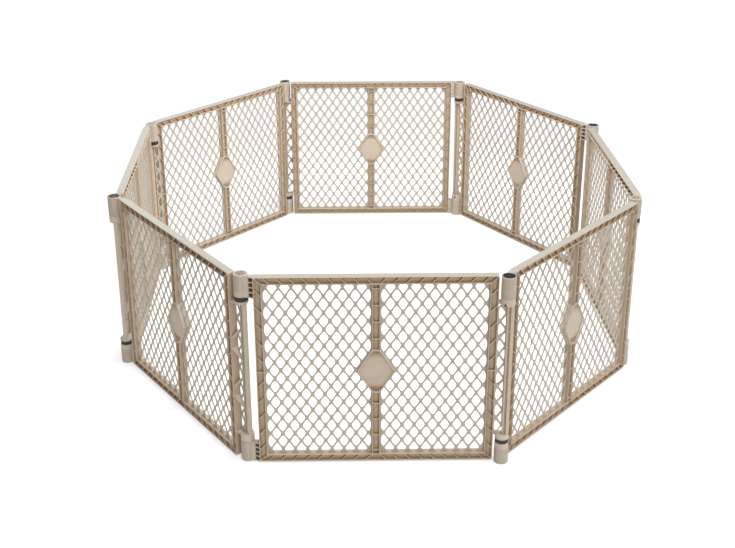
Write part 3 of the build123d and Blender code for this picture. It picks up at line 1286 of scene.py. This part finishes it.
@dataclass(frozen=True)
class SpokedDisc:
    """Round end with pockets between radial spokes."""

    radius: float
    level: float
    spokes: int
    depth: float
    hub: float
    rim: float
    spoke_share: float
    upwards: bool
    # face_tone is painted on the face round the pockets; pocket_tone paints shade into the pockets
    face_tone: float = 0.0
    pocket_tone: float = 0.9
    slant: float = 0.03
    rim_slant: tuple[float, float] = (0.2, -0.3)
    hub_slant: tuple[float, float] = (0.4, -0.2)

    def sunk(self, radii: np.ndarray, turns: np.ndarray) -> np.ndarray:
        """Depth of the surface below the rim.

        Args:
            radii: distance from the axis.
            turns: place between two spokes, from 0 to 1.

        Returns:
            The full depth inside a pocket and zero on spokes, hub and rim. A spoke takes up a
            fixed share of the angle from one spoke to the next.
        """
        share = np.abs(turns - 0.5) * 2
        inside = (share < 1 - self.spoke_share) & (radii > self.hub) & (radii < self.radius - self.rim)
        return np.where(inside, self.depth, 0.0)

    def build(self, surface: Surface, centre: tuple[float, float]) -> None:
        """Add the disc to a surface.

        Args:
            surface: surface that takes the faces.
            centre: place of the axis.
        """
        gap = 1 - self.spoke_share
        start, stop = 0.5 - gap / 2, 0.5 + gap / 2
        slant = self.slant
        share = np.array([0.0, start - slant, start + slant, stop - slant, stop + slant])
        angles = ((np.arange(self.spokes)[:, None] + share[None]) * 2 * np.pi / self.spokes).ravel()
        turns = np.tile(share, self.spokes)
        edge = self.radius - self.rim + np.array(self.rim_slant)
        radii = np.array([self.radius, *edge, *(self.hub + np.array(self.hub_slant))])
        sink = self.sunk(radii[:, None], turns[None])
        points = revolve(np.column_stack([radii, np.full(len(radii), self.level)]), centre, angles)
        points[:, :, 2] -= sink if self.upwards else -sink
        rows, cols = sink.shape
        quads = grid_quads(rows, cols, wrap_cols=True)
        cap = (np.arange(cols) + (rows - 1) * cols)[None]
        if self.upwards:
            quads = quads[:, ::-1]
        else:
            cap = cap[:, ::-1]
        # the pockets are painted dark as shade
        surface.add(points, [quads, cap], np.where(sink > 0, self.pocket_tone, self.face_tone))


def plain(points: np.ndarray | list[tuple[float, float]]) -> np.ndarray:
    """Profile points of a barrel that have no groove."""
    return np.column_stack([points, np.zeros(len(points))])


@dataclass(frozen=True)
class Knuckle:
    """Two ringed barrels on the knuckle axis, carried from the stile by level fins."""

    sizes: PanelSizes = SIZES
    segments: int = 72
    ring_pitch: float = 4.75
    ring_shares: tuple[float, ...] = (0.0, 0.6, 0.72, 0.88)
    groove: float = 0.9
    # painted shade: the grooves are painted a cooler, darker grey
    groove_tone: float = -0.5
    seam_half_angle: float = math.radians(4.0)
    seam_rise: float = 0.25
    bore: float = 20.2
    open_mouth: Offsets = ((0.0, 20.0), (0.0, 0.8), (0.5, 0.2))
    open_throat: Offsets = ((0.2, 0.0), (0.0, -4.0))
    open_edges: tuple[float, float] = (1.2, 0.7)
    open_lands: tuple[float, float] = (1.6, 1.4)
    closed_mouth: Offsets = ((0.0, 20.0), (0.0, 0.0))
    closed_foot: Offsets = ((-2.6, 0.0), (-1.3, 0.7), (-0.5, 2.2), (-0.3, 4.2), (-0.3, 16.4))
    closed_top: Offsets = ((-0.5, -0.8), (-1.6, 0.0))
    closed_lands: tuple[float, float] = (17.0, 2.2)
    pockets: int = 10
    pocket_depth: float = 8.0
    fin_count: int = 5
    fin_thickness: float = 3.5
    fin_margin: float = 1.0
    fin_front: float = 2.5
    fin_edge: float = 0.5
    end_band: float = 0.3
    # painted light: the level faces are painted cool grey
    level_tone: float = -0.4
    open_cheek: tuple[float, float] = (0.6, 0.4)
    closed_cheek: tuple[float, float] = (0.4, 1.2)
    cheek_reach: float = 25.0
    cheek_front: float = -3.0
    cheek_edge: float = 0.3
    cheek_steps: int = 7
    embed: float = 1.0
    barrel_embed: float = 1.5
    back_web: float = 4.0
    back_margin: float = 0.6
    back_edge: float = 0.2
    # painted shade: the back of the web deep behind the fins is painted dark
    back_tone: float = 0.7

    def ringed(self, low: float, high: float) -> np.ndarray:
        """Ring-grooved wall of a barrel.

        Args:
            low: lower end.
            high: upper end.

        Returns:
            Radius, height and groove depth of each point. Each ring has a flat land, then a
            groove with sloping sides.
        """
        radius = self.sizes.barrel_radius
        count = max(1, round((high - low) / self.ring_pitch))
        pitch = (high - low) / count
        depths = np.array([0.0, 0.0, self.groove, self.groove])
        heights = low + pitch * (np.arange(count)[:, None] + np.array(self.ring_shares)[None])
        sink = np.broadcast_to(depths[None], heights.shape)
        radii = np.full(heights.shape, radius)
        wall = np.stack([radii.ravel(), heights.ravel(), sink.ravel()], axis=1)
        return np.concatenate([wall, [[radius, high, 0.0]]])

    def open_profile(self) -> np.ndarray:
        """Closed profile of the open barrel, whose outer end is at the floor."""
        length, radius = self.sizes.open_length, self.sizes.barrel_radius
        return np.concatenate(
            [
                plain(rounded_corner((self.bore, 0.0), self.open_mouth)),
                plain([(radius - self.open_edges[0], 0.0)]),
                self.ringed(self.open_lands[0], length - self.open_lands[1]),
                plain([(radius - self.open_edges[1], length)]),
                plain(rounded_corner((self.bore, length), self.open_throat)),
            ]
        )

    def closed_profile(self) -> np.ndarray:
        """Profile of the closed barrel from its bore to the rim of its star top."""
        top, low = self.sizes.height, self.sizes.closed_bottom
        radius = self.sizes.barrel_radius
        return np.concatenate(
            [
                plain(rounded_corner((self.bore, low), self.closed_mouth)),
                plain(rounded_corner((radius, low), self.closed_foot)),
                self.ringed(low + self.closed_lands[0], top - self.closed_lands[1]),
                plain(rounded_corner((radius, top), self.closed_top)),
            ]
        )

    def wall(self, profile: np.ndarray) -> tuple[np.ndarray, np.ndarray]:
        """Turn a profile and sink its grooves, except along the seam of the mould.

        Args:
            profile: radius, height and groove depth of each point.

        Returns:
            Grid of the wall and the tone of its points. The seam is an upright strip on the
            outer side, where the wall rises a little instead of sinking. The grooves are painted
            darker as shade and the level ends cool grey as painted light.
        """
        angles = (np.arange(self.segments) + 0.5) * 2 * np.pi / self.segments
        on_seam = np.abs(wrapped(angles + np.pi / 2)) < self.seam_half_angle
        radii, heights, grooves = profile[:, :1], profile[:, 1:2], profile[:, 2:]
        raised = (radii >= self.sizes.barrel_radius) & on_seam
        grid = revolve(
            profile[:, :2], self.sizes.knuckle_axis, angles, grooves * ~on_seam - self.seam_rise * raised
        )
        # painted shade in the grooves and painted light on the level ends
        painted_shading = self.groove_tone * ((grooves > 0) & ~on_seam)
        ends = (heights < heights.min() + self.end_band) | (heights > heights.max() - self.end_band)
        return grid, np.where(ends, self.level_tone, painted_shading)

    def build(self) -> Surface:
        """Gather barrels, star top and fins."""
        surface = Surface()
        surface.torus(*self.wall(self.open_profile()))
        grid, painted_shading = self.wall(self.closed_profile())
        rows, cols, _ = grid.shape
        surface.add(grid, [grid_quads(rows, cols, wrap_cols=True)[:, ::-1]], painted_shading)
        SpokedDisc(
            radius=self.sizes.barrel_radius + self.closed_top[-1][0],
            level=self.sizes.height,
            spokes=self.pockets,
            depth=self.pocket_depth,
            hub=2.4,
            rim=4.6,
            spoke_share=0.42,
            upwards=True,
            # the star top's face takes the painted light of the level faces
            face_tone=self.level_tone,
        ).build(surface, self.sizes.knuckle_axis)
        self._fins(surface)
        return surface

    def _fins(self, surface: Surface) -> None:
        """Add the cheeks, the level fins of both barrels and the web behind the fins, with cool grey
        painted on the level faces as light and the back of the web painted dark as shade.

        Args:
            surface: surface of the knuckle.
        """
        sizes = self.sizes
        half = sizes.depth / 2 - self.fin_margin
        reach, front = self.cheek_reach, self.cheek_front
        root = sizes.barrel_radius - self.barrel_embed
        low_angle = math.asin((front - sizes.axis_offset) / root)
        high_angle = math.asin((half - sizes.axis_offset) / root)
        bend = np.linspace(high_angle, low_angle, self.cheek_steps)
        inner = np.stack([root * np.cos(bend), sizes.axis_offset + root * np.sin(bend)], axis=1)
        cheek = np.concatenate([inner, [[reach, front], [reach, half]]])
        stile, near = sizes.left + self.embed, reach - self.embed
        fin = np.array([(stile, half), (near, half), (near, front - self.fin_front), (stile, -half)])
        behind = half - self.back_web
        web = np.array([(stile, half), (near, half), (near, behind), (stile, behind)])
        bottom, top, inset = sizes.closed_bottom, sizes.height, sizes.frame_inset
        spans = (
            (self.open_cheek, (0.0, sizes.open_length), (inset, sizes.open_length)),
            (self.closed_cheek, (bottom, top), (bottom, top - inset)),
        )
        # painted light on the level faces of cheeks and fins; painted shade on the back of the web
        cooled = np.array([self.level_tone, 0.0, 0.0, self.level_tone])
        shaded = np.tile([0.0, 0.0, self.back_tone, self.back_tone], (len(cooled), 1))
        for (below, above), (start, end), (low, high) in spans:
            surface.loft(level_rings(cheek, start + below, end - above, self.cheek_edge), cooled)
            for foot in np.linspace(low, high - self.fin_thickness, self.fin_count):
                surface.loft(level_rings(fin, foot, foot + self.fin_thickness, self.fin_edge), cooled)
            low, high = low + self.back_margin, high - self.back_margin
            surface.loft(level_rings(web, low, high, self.back_edge), shaded)


@dataclass(frozen=True)
class HingePost:
    """Cup, flange and post on the post axis, with the arms and truss that tie them to the stile."""

    sizes: PanelSizes = SIZES
    segments: int = 56
    cup_rows: int = 40
    notch_steps: int = 41
    cup_radius: float = 22.5
    cup_foot: Offsets = ((-4.0, 0.0), (-1.6, 0.6), (-0.4, 1.6))
    cup_wall: float = 2.4
    cup_rim: Offsets = ((0.0, -0.8), (-0.6, 0.0))
    socket: float = 20.3
    socket_rim: Offsets = ((0.4, 0.0), (0.0, -0.6))
    socket_floor: float = 3.0
    notch_angle: float = math.radians(-118.0)
    notch_half_width: float = 6.0
    notch_foot: float = 1.0
    notch_height: float = 13.0
    notch_depth: float = 1.9
    notch_margin: float = 1.0
    notch_reach: float = 1.2
    notch_gap: float = 0.1
    post_depth: float = 14.0
    groove_start: float = 3.0
    groove_width: float = 7.0
    groove_depth: float = 4.5
    groove_edge: float = 0.4
    groove_taper: float = 0.6
    # painted shade in the grooves of the post
    groove_tones: tuple[float, float] = (0.06, 0.32)
    post_ribs: int = 8
    post_rib: float = 2.2
    post_rib_inset: float = 0.7
    post_rib_edge: float = 0.3
    edge: float = 0.8
    embed: float = 1.0
    arm: float = 4.0
    arm_margin: float = 1.0
    arm_edge: float = 0.5
    arm_gap: float = 0.4
    # faint painted shade on the webs, gussets, post ribs and truss fins
    arm_tone: float = 0.05
    web_rise: float = 16.0
    web_drop: float = 4.0
    web_thickness: float = 4.0
    web_inset: float = 0.5
    web_end: float = 12.0
    web_edge: float = 0.4
    gusset: float = 14.0
    gusset_steps: int = 9
    flange_edge: Offsets = ((-6.0, 0.0), (-2.5, -2.0), (-0.5, -4.6), (0.0, -5.6))
    flange_socket: float = 8.8
    teeth: int = 28
    tooth: float = 1.6
    truss_border: tuple[float, float] = (2.2, 1.2)
    truss_bar: float = 6.8
    truss_roundness: float = 6.0
    truss_smallest: float = 2.2
    truss_thickness: float = 4.0
    fin_embed: float = 0.5
    fin_foot: float = 2.0
    fin_thickness: float = 4.0
    fin_bars: tuple[tuple[int, int], ...] = ((-2, -1), (-1, 1), (1, -1), (2, 1))

    def build(self) -> Surface:
        """Gather cup, flange, post, arms and truss."""
        surface = Surface()
        centre = self.sizes.post_axis
        self._cup(surface, centre)
        surface.torus(self.flange_grid(centre))
        self._post(surface, centre)
        self._arms(surface)
        self._truss(surface)
        self._truss_fins(surface)
        return surface

    def _cup(self, surface: Surface, centre: tuple[float, float]) -> None:
        """Add the cup, open at its top, with a rounded lower edge and a notch beside its arm whose
        inside is painted dark as shade.

        Args:
            surface: surface of the hinge post.
            centre: place of the axis.
        """
        low, high = self.sizes.cup_bottom, self.sizes.cup_top
        outer = self.cup_radius
        floor = low + self.socket_floor
        foot = rounded_corner((outer, low), self.cup_foot)
        notch_top = low + self.notch_foot + self.notch_height + self.notch_margin
        heights = np.linspace(low + self.cup_wall, notch_top, self.cup_rows)
        profile = np.concatenate(
            [
                [[NEAR_AXIS, low]],
                foot,
                np.stack([np.full(self.cup_rows, outer), heights], axis=1),
                rounded_corner((outer, high), self.cup_rim),
                rounded_corner((self.socket, high), self.socket_rim),
                [[self.socket, floor], [NEAR_AXIS, floor]],
            ]
        )
        swing = self.notch_half_width / outer
        reach, rest = self.notch_reach * swing, (self.notch_reach + self.notch_gap) * swing
        fine = np.linspace(-reach, reach, self.notch_steps)
        coarse = np.linspace(rest, 2 * np.pi - rest, self.segments)
        angles = self.notch_angle + np.concatenate([fine, coarse])
        across = outer * wrapped(angles - self.notch_angle)
        up = (profile[:, 1] - low - self.notch_foot) / self.notch_height
        row = np.arange(len(profile))
        on_wall = (row > len(foot)) & (row <= len(foot) + self.cup_rows)
        inside = (np.abs(across)[None] < self.notch_half_width * (1 - up)[:, None]) & (up > 0)[:, None]
        inside &= on_wall[:, None]
        # the inside of the notch is painted dark as shade
        surface.torus(revolve(profile, centre, angles, self.notch_depth * inside), inside)

    def flange_grid(self, centre: tuple[float, float]) -> np.ndarray:
        """Flange with a toothed rim that narrows towards the post.

        Args:
            centre: place of the axis.

        Returns:
            Closed grid. The rim rises and falls as a square wave round the axis.
        """
        low, high = self.sizes.flange_bottom, self.sizes.flange_top
        outer = self.cup_radius
        floor = low + self.flange_socket
        profile = np.concatenate(
            [
                [[NEAR_AXIS, high]],
                rounded_corner((outer, high), self.flange_edge),
                [[outer, low], [self.socket, low], [self.socket, floor], [NEAR_AXIS, floor]],
            ]
        )
        wave = square_wave(self.teeth)
        grid = revolve(profile, centre, even_angles(len(wave)))
        rim = profile[:, 1] == low
        grid[:, :, 2] += self.tooth * rim[:, None] * wave[None]
        return grid

    def _post(self, surface: Surface, centre: tuple[float, float]) -> None:
        """Add the post beside the axis and the small ribs across its grooves.

        Args:
            surface: surface of the hinge post.
            centre: place of the axis.
        """
        near, far = self.sizes.post_near, self.sizes.post_far
        half = self.post_depth / 2
        edge = self.edge
        start, stop = self.groove_start, self.groove_start + self.groove_width
        floor = half - self.groove_depth
        upper = np.array(
            [
                [far, half - edge],
                [far - edge, half],
                [stop + self.groove_edge, half],
                [stop, half - self.groove_edge],
                [stop - self.groove_taper, floor],
                [start + self.groove_taper, floor],
                [start, half - self.groove_edge],
                [start - self.groove_edge, half],
                [near + edge, half],
                [near, half - edge],
            ]
        )
        # painted shade deepening into the grooves of the post
        painted_shading = np.zeros(len(upper))
        painted_shading[3:7] = [*self.groove_tones, *self.groove_tones[::-1]]
        outline = np.concatenate([upper, upper[::-1] * np.array([1.0, -1.0])]) + np.array(centre)
        tones = np.concatenate([painted_shading, painted_shading[::-1]])
        ends = (self.sizes.flange_top - self.embed, self.sizes.cup_bottom + self.embed)
        surface.loft(np.stack([level(outline, z) for z in ends]), np.stack([tones, tones]))
        middle = (centre[0] + (start + stop) / 2, centre[1])
        box = rectangle_core(middle, ((stop - start) / 2, half - self.post_rib_inset))
        numbers = np.arange(self.post_ribs) - (self.post_ribs - 1) / 2
        thick = self.post_rib / 2
        for z in numbers * self.sizes.pitch_z + self.sizes.middle_z:
            surface.loft(level_rings(box, z - thick, z + thick, self.post_rib_edge), self.arm_tone)

    def _arms(self, surface: Surface) -> None:
        """Add the level arms of cup and flange, the upright web of the cup's arm and the gussets.

        Args:
            surface: surface of the hinge post.
        """
        sizes = self.sizes
        half = sizes.depth / 2 - self.arm_margin
        far = self.cup_radius - self.arm_margin - sizes.axis_offset
        stile = sizes.right - self.embed
        outline = np.array([(sizes.post_x, -half), (sizes.post_x, far), (stile, half), (stile, -half)])
        for bottom in (sizes.cup_bottom + self.arm_gap, sizes.flange_top - self.arm - self.arm_gap):
            surface.loft(level_rings(outline, bottom, bottom + self.arm, self.arm_edge))
        reach = sizes.post_x - self.web_end
        low, high = sizes.cup_bottom + self.embed, sizes.flange_top - self.embed
        rise = low + self.web_rise
        web = np.array([(stile, low), (reach, low), (reach, rise - self.web_drop), (stile, rise)])
        plates = (
            (web, -half + self.web_inset),
            (self.gusset_outline(low, -1.0), -half),
            (self.gusset_outline(high, 1.0), -half),
        )
        for plate, front in plates:
            back = front + self.web_thickness
            surface.loft(upright_rings(plate, front, back, self.web_edge), self.arm_tone)

    def gusset_outline(self, level_at: float, direction: float) -> np.ndarray:
        """Outline of a gusset with one hollow side.

        Args:
            level_at: height of the arm it stands on.
            direction: 1 where it rises from the arm, -1 where it hangs from it.

        Returns:
            A quarter of a hollow circle that runs from the arm to the post, and its corner.
        """
        near = self.sizes.post_x + self.sizes.post_near + self.fin_embed
        angles = np.linspace(0, np.pi / 2, self.gusset_steps)
        x = near - self.gusset * (1 - np.sin(angles))
        z = level_at + direction * self.gusset * (1 - np.cos(angles))
        return np.concatenate([np.stack([x, z], axis=1), [[near, level_at]]])

    def _truss(self, surface: Surface) -> None:
        """Add the lattice sheet between the stile and the post.

        Args:
            surface: surface of the hinge post.
        """
        sizes = self.sizes
        near, far = sizes.right, sizes.post_x + sizes.post_near
        LatticeField(
            centre=(far - sizes.truss_pitch_x / 2, sizes.middle_z),
            pitch=(sizes.truss_pitch_x, sizes.pitch_z),
            low=(near, sizes.flange_top),
            high=(far, sizes.cup_bottom),
            border=self.truss_border,
            bar=self.truss_bar,
            embed=self.truss_border[0],
            thickness=self.truss_thickness,
            depth_at=self.post_depth / 2 - sizes.axis_offset - self.truss_thickness / 2,
            cut_roundness=self.truss_roundness,
            smallest=self.truss_smallest,
        ).build(surface)

    def _truss_fins(self, surface: Surface) -> None:
        """Add the fins that stand on four bars of the truss and taper from the stile to the post.

        Args:
            surface: surface of the hinge post.
        """
        sizes = self.sizes
        near, far = sizes.right - self.fin_embed, sizes.post_x + sizes.post_near + self.fin_embed
        tip = self.post_depth / 2 - sizes.axis_offset
        foot = tip - self.fin_foot
        lip = sizes.depth / 2 - self.arm_margin
        slope = sizes.pitch_z / sizes.truss_pitch_x
        lift = np.array([0.0, 0.0, self.fin_thickness / 2])
        for number, side in self.fin_bars:
            end = sizes.middle_z + number * sizes.pitch_z + side * sizes.pitch_z / 2
            start = end - side * slope * (far - near)
            outline = np.array([[near, foot, start], [near, lip, start], [far, tip, end], [far, foot, end]])
            surface.loft(np.stack([outline - lift, outline + lift]), self.arm_tone)


@dataclass(frozen=True)
class HingePin:
    """Black pin of one barrel: a spoked end in the open barrel, a toothed band under the closed one."""

    end: BarrelEnd
    sizes: PanelSizes = SIZES
    segments: int = 64
    recess: float = 1.5
    edge: float = 0.6
    tip_edge: float = 1.0
    open_reach: float = 23.5
    closed_reach: tuple[float, float] = (8.5, 39.5)
    spokes: int = 20
    collar: float = 21.6
    collar_edge: float = 0.5
    teeth: int = 32
    tooth: float = 0.9

    def build(self) -> Surface:
        """Gather the pin of this barrel."""
        surface = Surface()
        if self.end is BarrelEnd.OPEN:
            self._open(surface)
        else:
            self._closed(surface)
        return surface

    def _open(self, surface: Surface) -> None:
        """Add the long pin with its spoked end.

        Args:
            surface: surface of the pin.
        """
        centre = self.sizes.knuckle_axis
        radius = self.sizes.pin_radius
        face = radius - self.edge
        top = self.sizes.open_length + self.sizes.axial_gap + self.open_reach
        end = self.recess
        wall = np.array(
            [
                [NEAR_AXIS, top],
                [radius - self.tip_edge, top],
                [radius, top - self.tip_edge],
                [radius, end + self.edge],
                [face, end],
            ]
        )
        grid = revolve(wall, centre, even_angles(self.segments))
        surface.add(grid, [grid_quads(len(wall), self.segments, wrap_cols=True)])
        # the pockets of the spoked end are painted dark as shade
        SpokedDisc(
            radius=face,
            level=end,
            spokes=self.spokes,
            depth=4.0,
            hub=3.6,
            rim=1.2,
            spoke_share=0.38,
            upwards=False,
        ).build(surface, centre)

    def _closed(self, surface: Surface) -> None:
        """Add the short pin with its toothed band.

        Args:
            surface: surface of the pin.
        """
        radius, collar, edge = self.sizes.pin_radius, self.collar, self.edge
        barrel = self.sizes.closed_bottom
        low = barrel - self.sizes.band_height
        foot, top = low - self.closed_reach[0], barrel + self.closed_reach[1]
        profile = np.array(
            [
                [NEAR_AXIS, foot],
                [radius, foot],
                [radius, low + edge],
                [collar - self.collar_edge, low + edge],
                [collar, low + edge + self.collar_edge],
                [collar, barrel - 2 * edge],
                [collar - edge, barrel - edge],
                [radius, barrel - edge],
                [radius, top],
                [NEAR_AXIS, top],
            ]
        )
        wave = square_wave(self.teeth)
        on_collar = profile[:, :1] > radius
        sink = self.tooth * on_collar * wave[None]
        surface.torus(revolve(profile, self.sizes.knuckle_axis, even_angles(len(wave)), sink))


@dataclass(frozen=True)
class PieceMaker:
    """Turns surfaces into objects of the scene."""

    materials: dict[Slot, bpy.types.Material]
    smooth_angle: float = math.radians(34.0)
    noise_step: float = 1.7

    def make(self, name: str, surface: Surface, placing: Placing, slot: Slot) -> bpy.types.Object:
        """Make one piece and let it ride on its panel.

        Args:
            name: name of the piece.
            surface: its points and faces in panel millimetres.
            placing: place of its panel.
            slot: material slot.

        Returns:
            The new object.
        """
        mesh = self._mesh(name, surface, placing)
        mesh.materials.append(self.materials[slot])
        piece = bpy.data.objects.new(name, mesh)
        bpy.context.scene.collection.objects.link(piece)
        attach(piece, placing.body)
        triangles = sum(len(group) * (group.shape[1] - 2) for group in surface.faces)
        LOG.info("%s: %d points, %d triangles", name, surface.count, triangles)
        return piece

    def _mesh(self, name: str, surface: Surface, placing: Placing) -> bpy.types.Mesh:
        """Make the mesh of a piece.

        Args:
            name: name of the piece.
            surface: its points and faces in panel millimetres.
            placing: place of its panel.

        Returns:
            The mesh in ring metres, with every point's tone of painted light and shade and its place
            on the panel, which is shifted from panel to panel so that their noise differs.
        """
        local = np.concatenate(surface.points)
        painted_shading = np.concatenate(surface.tones)
        mesh = bpy.data.meshes.new(name)
        mesh.vertices.add(len(local))
        mesh.vertices.foreach_set("co", placing.to_ring(local).astype(np.float32).ravel())
        corners = np.concatenate([group.ravel() for group in surface.faces]).astype(np.int32)
        sizes = np.concatenate([np.full(len(group), group.shape[1]) for group in surface.faces])
        mesh.loops.add(len(corners))
        mesh.loops.foreach_set("vertex_index", corners)
        mesh.polygons.add(len(sizes))
        starts = np.concatenate([[0], np.cumsum(sizes)[:-1]]).astype(np.int32)
        mesh.polygons.foreach_set("loop_start", starts)
        mesh.polygons.foreach_set("use_smooth", np.ones(len(sizes), dtype=bool))
        mesh.update(calc_edges=True)
        mesh.validate()
        mesh.set_sharp_from_angle(angle=self.smooth_angle)
        place = mesh.attributes.new("panel_place", "FLOAT_VECTOR", "POINT")
        shifted = local * METRES + np.array([placing.number * self.noise_step, 0.0, 0.0])
        place.data.foreach_set("vector", shifted.astype(np.float32).ravel())
        # painted light and shade of every point
        shade = mesh.attributes.new("painted_shading", "FLOAT", "POINT")
        shade.data.foreach_set("value", painted_shading.astype(np.float32))
        return mesh


@dataclass(frozen=True)
class PlayYard:
    """The ring of panels with its pins."""

    maker: PieceMaker
    ring: Ring = Ring()

    def build(self) -> None:
        """Work every sub-assembly out once and set it at all panels."""
        panel_surfaces = {
            PieceKind.FRAME: FrameMoulding().build(),
            PieceKind.RIBS: RibSet().build(),
            PieceKind.PLATE: DiamondPlate().build(),
            PieceKind.GRILLE: Grille().build(),
            PieceKind.KNUCKLE: Knuckle().build(),
            PieceKind.POST: HingePost().build(),
        }
        pins = {end: HingePin(end).build() for end in BarrelEnd}
        for placing in self.ring.placings():
            for kind, surface in panel_surfaces.items():
                piece = self.maker.make(f"{placing.body}_{kind.value}", surface, placing, Slot.BEIGE)
                if kind is PieceKind.FRAME:
                    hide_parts(placing.body)
                elif kind is PieceKind.GRILLE:
                    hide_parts(f"{placing.body}_lattice")
            self._pins(placing, pins)

    def _pins(self, placing: Placing, pins: dict[BarrelEnd, Surface]) -> None:
        """Set both pins of a panel.

        Args:
            placing: place of the panel.
            pins: surfaces of both pins.
        """
        upper = BarrelEnd.OPEN if placing.turned_over else BarrelEnd.CLOSED
        for end, surface in pins.items():
            where = "upper" if end is upper else "lower"
            node = f"hinge_{placing.number}_{where}_pin"
            piece = self.maker.make(f"{node}_{end.value}", surface, placing, Slot.BLACK)
            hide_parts(node)


@dataclass(frozen=True)
class SoftLight:
    """A large area light."""

    name: str
    place: tuple[float, float, float]
    target: tuple[float, float, float]
    size: float
    power: float
    colour: tuple[float, float, float] = (1.0, 1.0, 1.0)

    def build(self) -> None:
        """Add the light and aim it."""
        data = bpy.data.lights.new(self.name, "AREA")
        data.shape = "DISK"
        data.size = self.size
        data.energy = self.power
        data.color = self.colour
        lamp = bpy.data.objects.new(self.name, data)
        away = np.array(self.place) - np.array(self.target)
        lamp.location = self.place
        lamp.visible_camera = False
        flat = math.hypot(away[0], away[1])
        lamp.rotation_euler = (math.atan2(flat, away[2]), 0.0, math.atan2(away[0], -away[1]))
        bpy.context.scene.collection.objects.link(lamp)


@dataclass(frozen=True)
class Studio:
    """Floor, light, background and camera."""

    image_width: float = 735.0
    image_height: float = 548.0
    focal: float = 1178.57
    camera_place: tuple[float, float, float] = (0.0894, -4.2534, 2.1923)
    centre: tuple[float, float] = (373.43, 207.8)
    pitch: float = 0.3885
    yaw: float = -0.0207
    floor_half: float = 14.0
    floor_fade: tuple[float, float] = (1.5, 2.3)
    floor_lift: float = 0.45
    floor_roughness: float = 0.9
    floor_specular: float = 0.1
    floor_noise: float = 3.0
    floor_shades: tuple[float, float] = (0.94, 0.97)
    world_light: float = 0.55
    sensor: float = 36.0
    far_clip: float = 60.0
    lights: tuple[SoftLight, ...] = (
        SoftLight("key_above", (0.6, -0.8, 5.2), (0.0, 0.0, 0.3), 4.5, 290.0, (0.90, 1.0, 1.06)),
        SoftLight("fill_front", (4.4, -10.4, 5.0), (0.0, 0.0, 0.4), 5.0, 460.0),
        SoftLight("fill_inside", (0.2, -0.35, 2.0), (0.0, 1.05, 0.3), 1.2, 24.0),
        SoftLight("fill_right", (5.5, -2.0, 2.6), (0.0, 0.0, 0.4), 3.0, 60.0),
        SoftLight("fill_back", (-4.0, 9.5, 4.4), (0.0, 0.0, 0.4), 5.0, 230.0),
    )

    def build(self) -> None:
        """Set the studio up."""
        self._floor()
        self._world()
        for light in self.lights:
            light.build()
        self._camera()
        bpy.context.scene.view_settings.view_transform = "Standard"

    def _floor(self) -> None:
        """Lay a pale floor that keeps the shadow and turns to plain white far out."""
        half = self.floor_half
        mesh = bpy.data.meshes.new("floor")
        corners = [(-half, -half, 0), (half, -half, 0), (half, half, 0), (-half, half, 0)]
        mesh.from_pydata(corners, [], [(0, 1, 2, 3)])
        material = bpy.data.materials.new("pale_floor")
        material.use_nodes = True
        graph = ShaderGraph(material.node_tree)
        nodes = graph.tree.nodes
        shader = nodes["Principled BSDF"]
        shader.inputs["Roughness"].default_value = self.floor_roughness
        shader.inputs["Specular IOR Level"].default_value = self.floor_specular
        place = graph.node("ShaderNodeTexCoord").outputs["Object"]
        shade = graph.spread(graph.noise(place, self.floor_noise), (0.0, 1.0), self.floor_shades)
        graph.link(shade, shader.inputs["Base Color"])
        distance = graph.node("ShaderNodeVectorMath")
        distance.operation = "LENGTH"
        graph.link(place, distance.inputs[0])
        ends = (self.floor_lift, 1.0)
        fade = graph.spread(distance.outputs["Value"], self.floor_fade, ends, "SMOOTHSTEP")
        white = graph.node("ShaderNodeEmission")
        white.inputs["Strength"].default_value = 1.0
        mix = graph.node("ShaderNodeMixShader")
        graph.link(fade, mix.inputs["Fac"])
        graph.link(shader.outputs["BSDF"], mix.inputs[1])
        graph.link(white.outputs["Emission"], mix.inputs[2])
        graph.link(mix.outputs["Shader"], nodes["Material Output"].inputs["Surface"])
        mesh.materials.append(material)
        floor = bpy.data.objects.new("floor", mesh)
        bpy.context.scene.collection.objects.link(floor)

    def _world(self) -> None:
        """White to the camera, softer white as a light."""
        world = bpy.data.worlds.new("studio")
        bpy.context.scene.world = world
        world.use_nodes = True
        graph = ShaderGraph(world.node_tree)
        background = graph.tree.nodes["Background"]
        background.inputs["Color"].default_value = (1.0, 1.0, 1.0, 1.0)
        seen = graph.node("ShaderNodeLightPath").outputs["Is Camera Ray"]
        strength = graph.spread(seen, (0.0, 1.0), (self.world_light, 1.0))
        graph.link(strength, background.inputs["Strength"])

    def _camera(self) -> None:
        """Place the camera where the photograph was taken from."""
        data = bpy.data.cameras.new("camera")
        data.sensor_fit = "HORIZONTAL"
        data.sensor_width = self.sensor
        data.lens = self.focal * self.sensor / self.image_width
        data.shift_x = (self.image_width / 2 - self.centre[0]) / self.image_width
        data.shift_y = (self.centre[1] - self.image_height / 2) / self.image_width
        data.clip_end = self.far_clip
        camera = bpy.data.objects.new("camera", data)
        camera.location = self.camera_place
        camera.rotation_euler = (math.pi / 2 - self.pitch, 0.0, -self.yaw)
        bpy.context.scene.collection.objects.link(camera)
        bpy.context.scene.camera = camera


def main() -> None:
    """Build the play yard and its studio, and note the size of every piece."""
    logging.basicConfig(level=logging.INFO, format="%(name)s %(message)s")
    maker = PieceMaker({finish_and_shading.slot: finish_and_shading.material() for finish_and_shading in (BEIGE, BLACK)})
    PlayYard(maker).build()
    Studio().build()


if __name__ == "__main__":
    main()
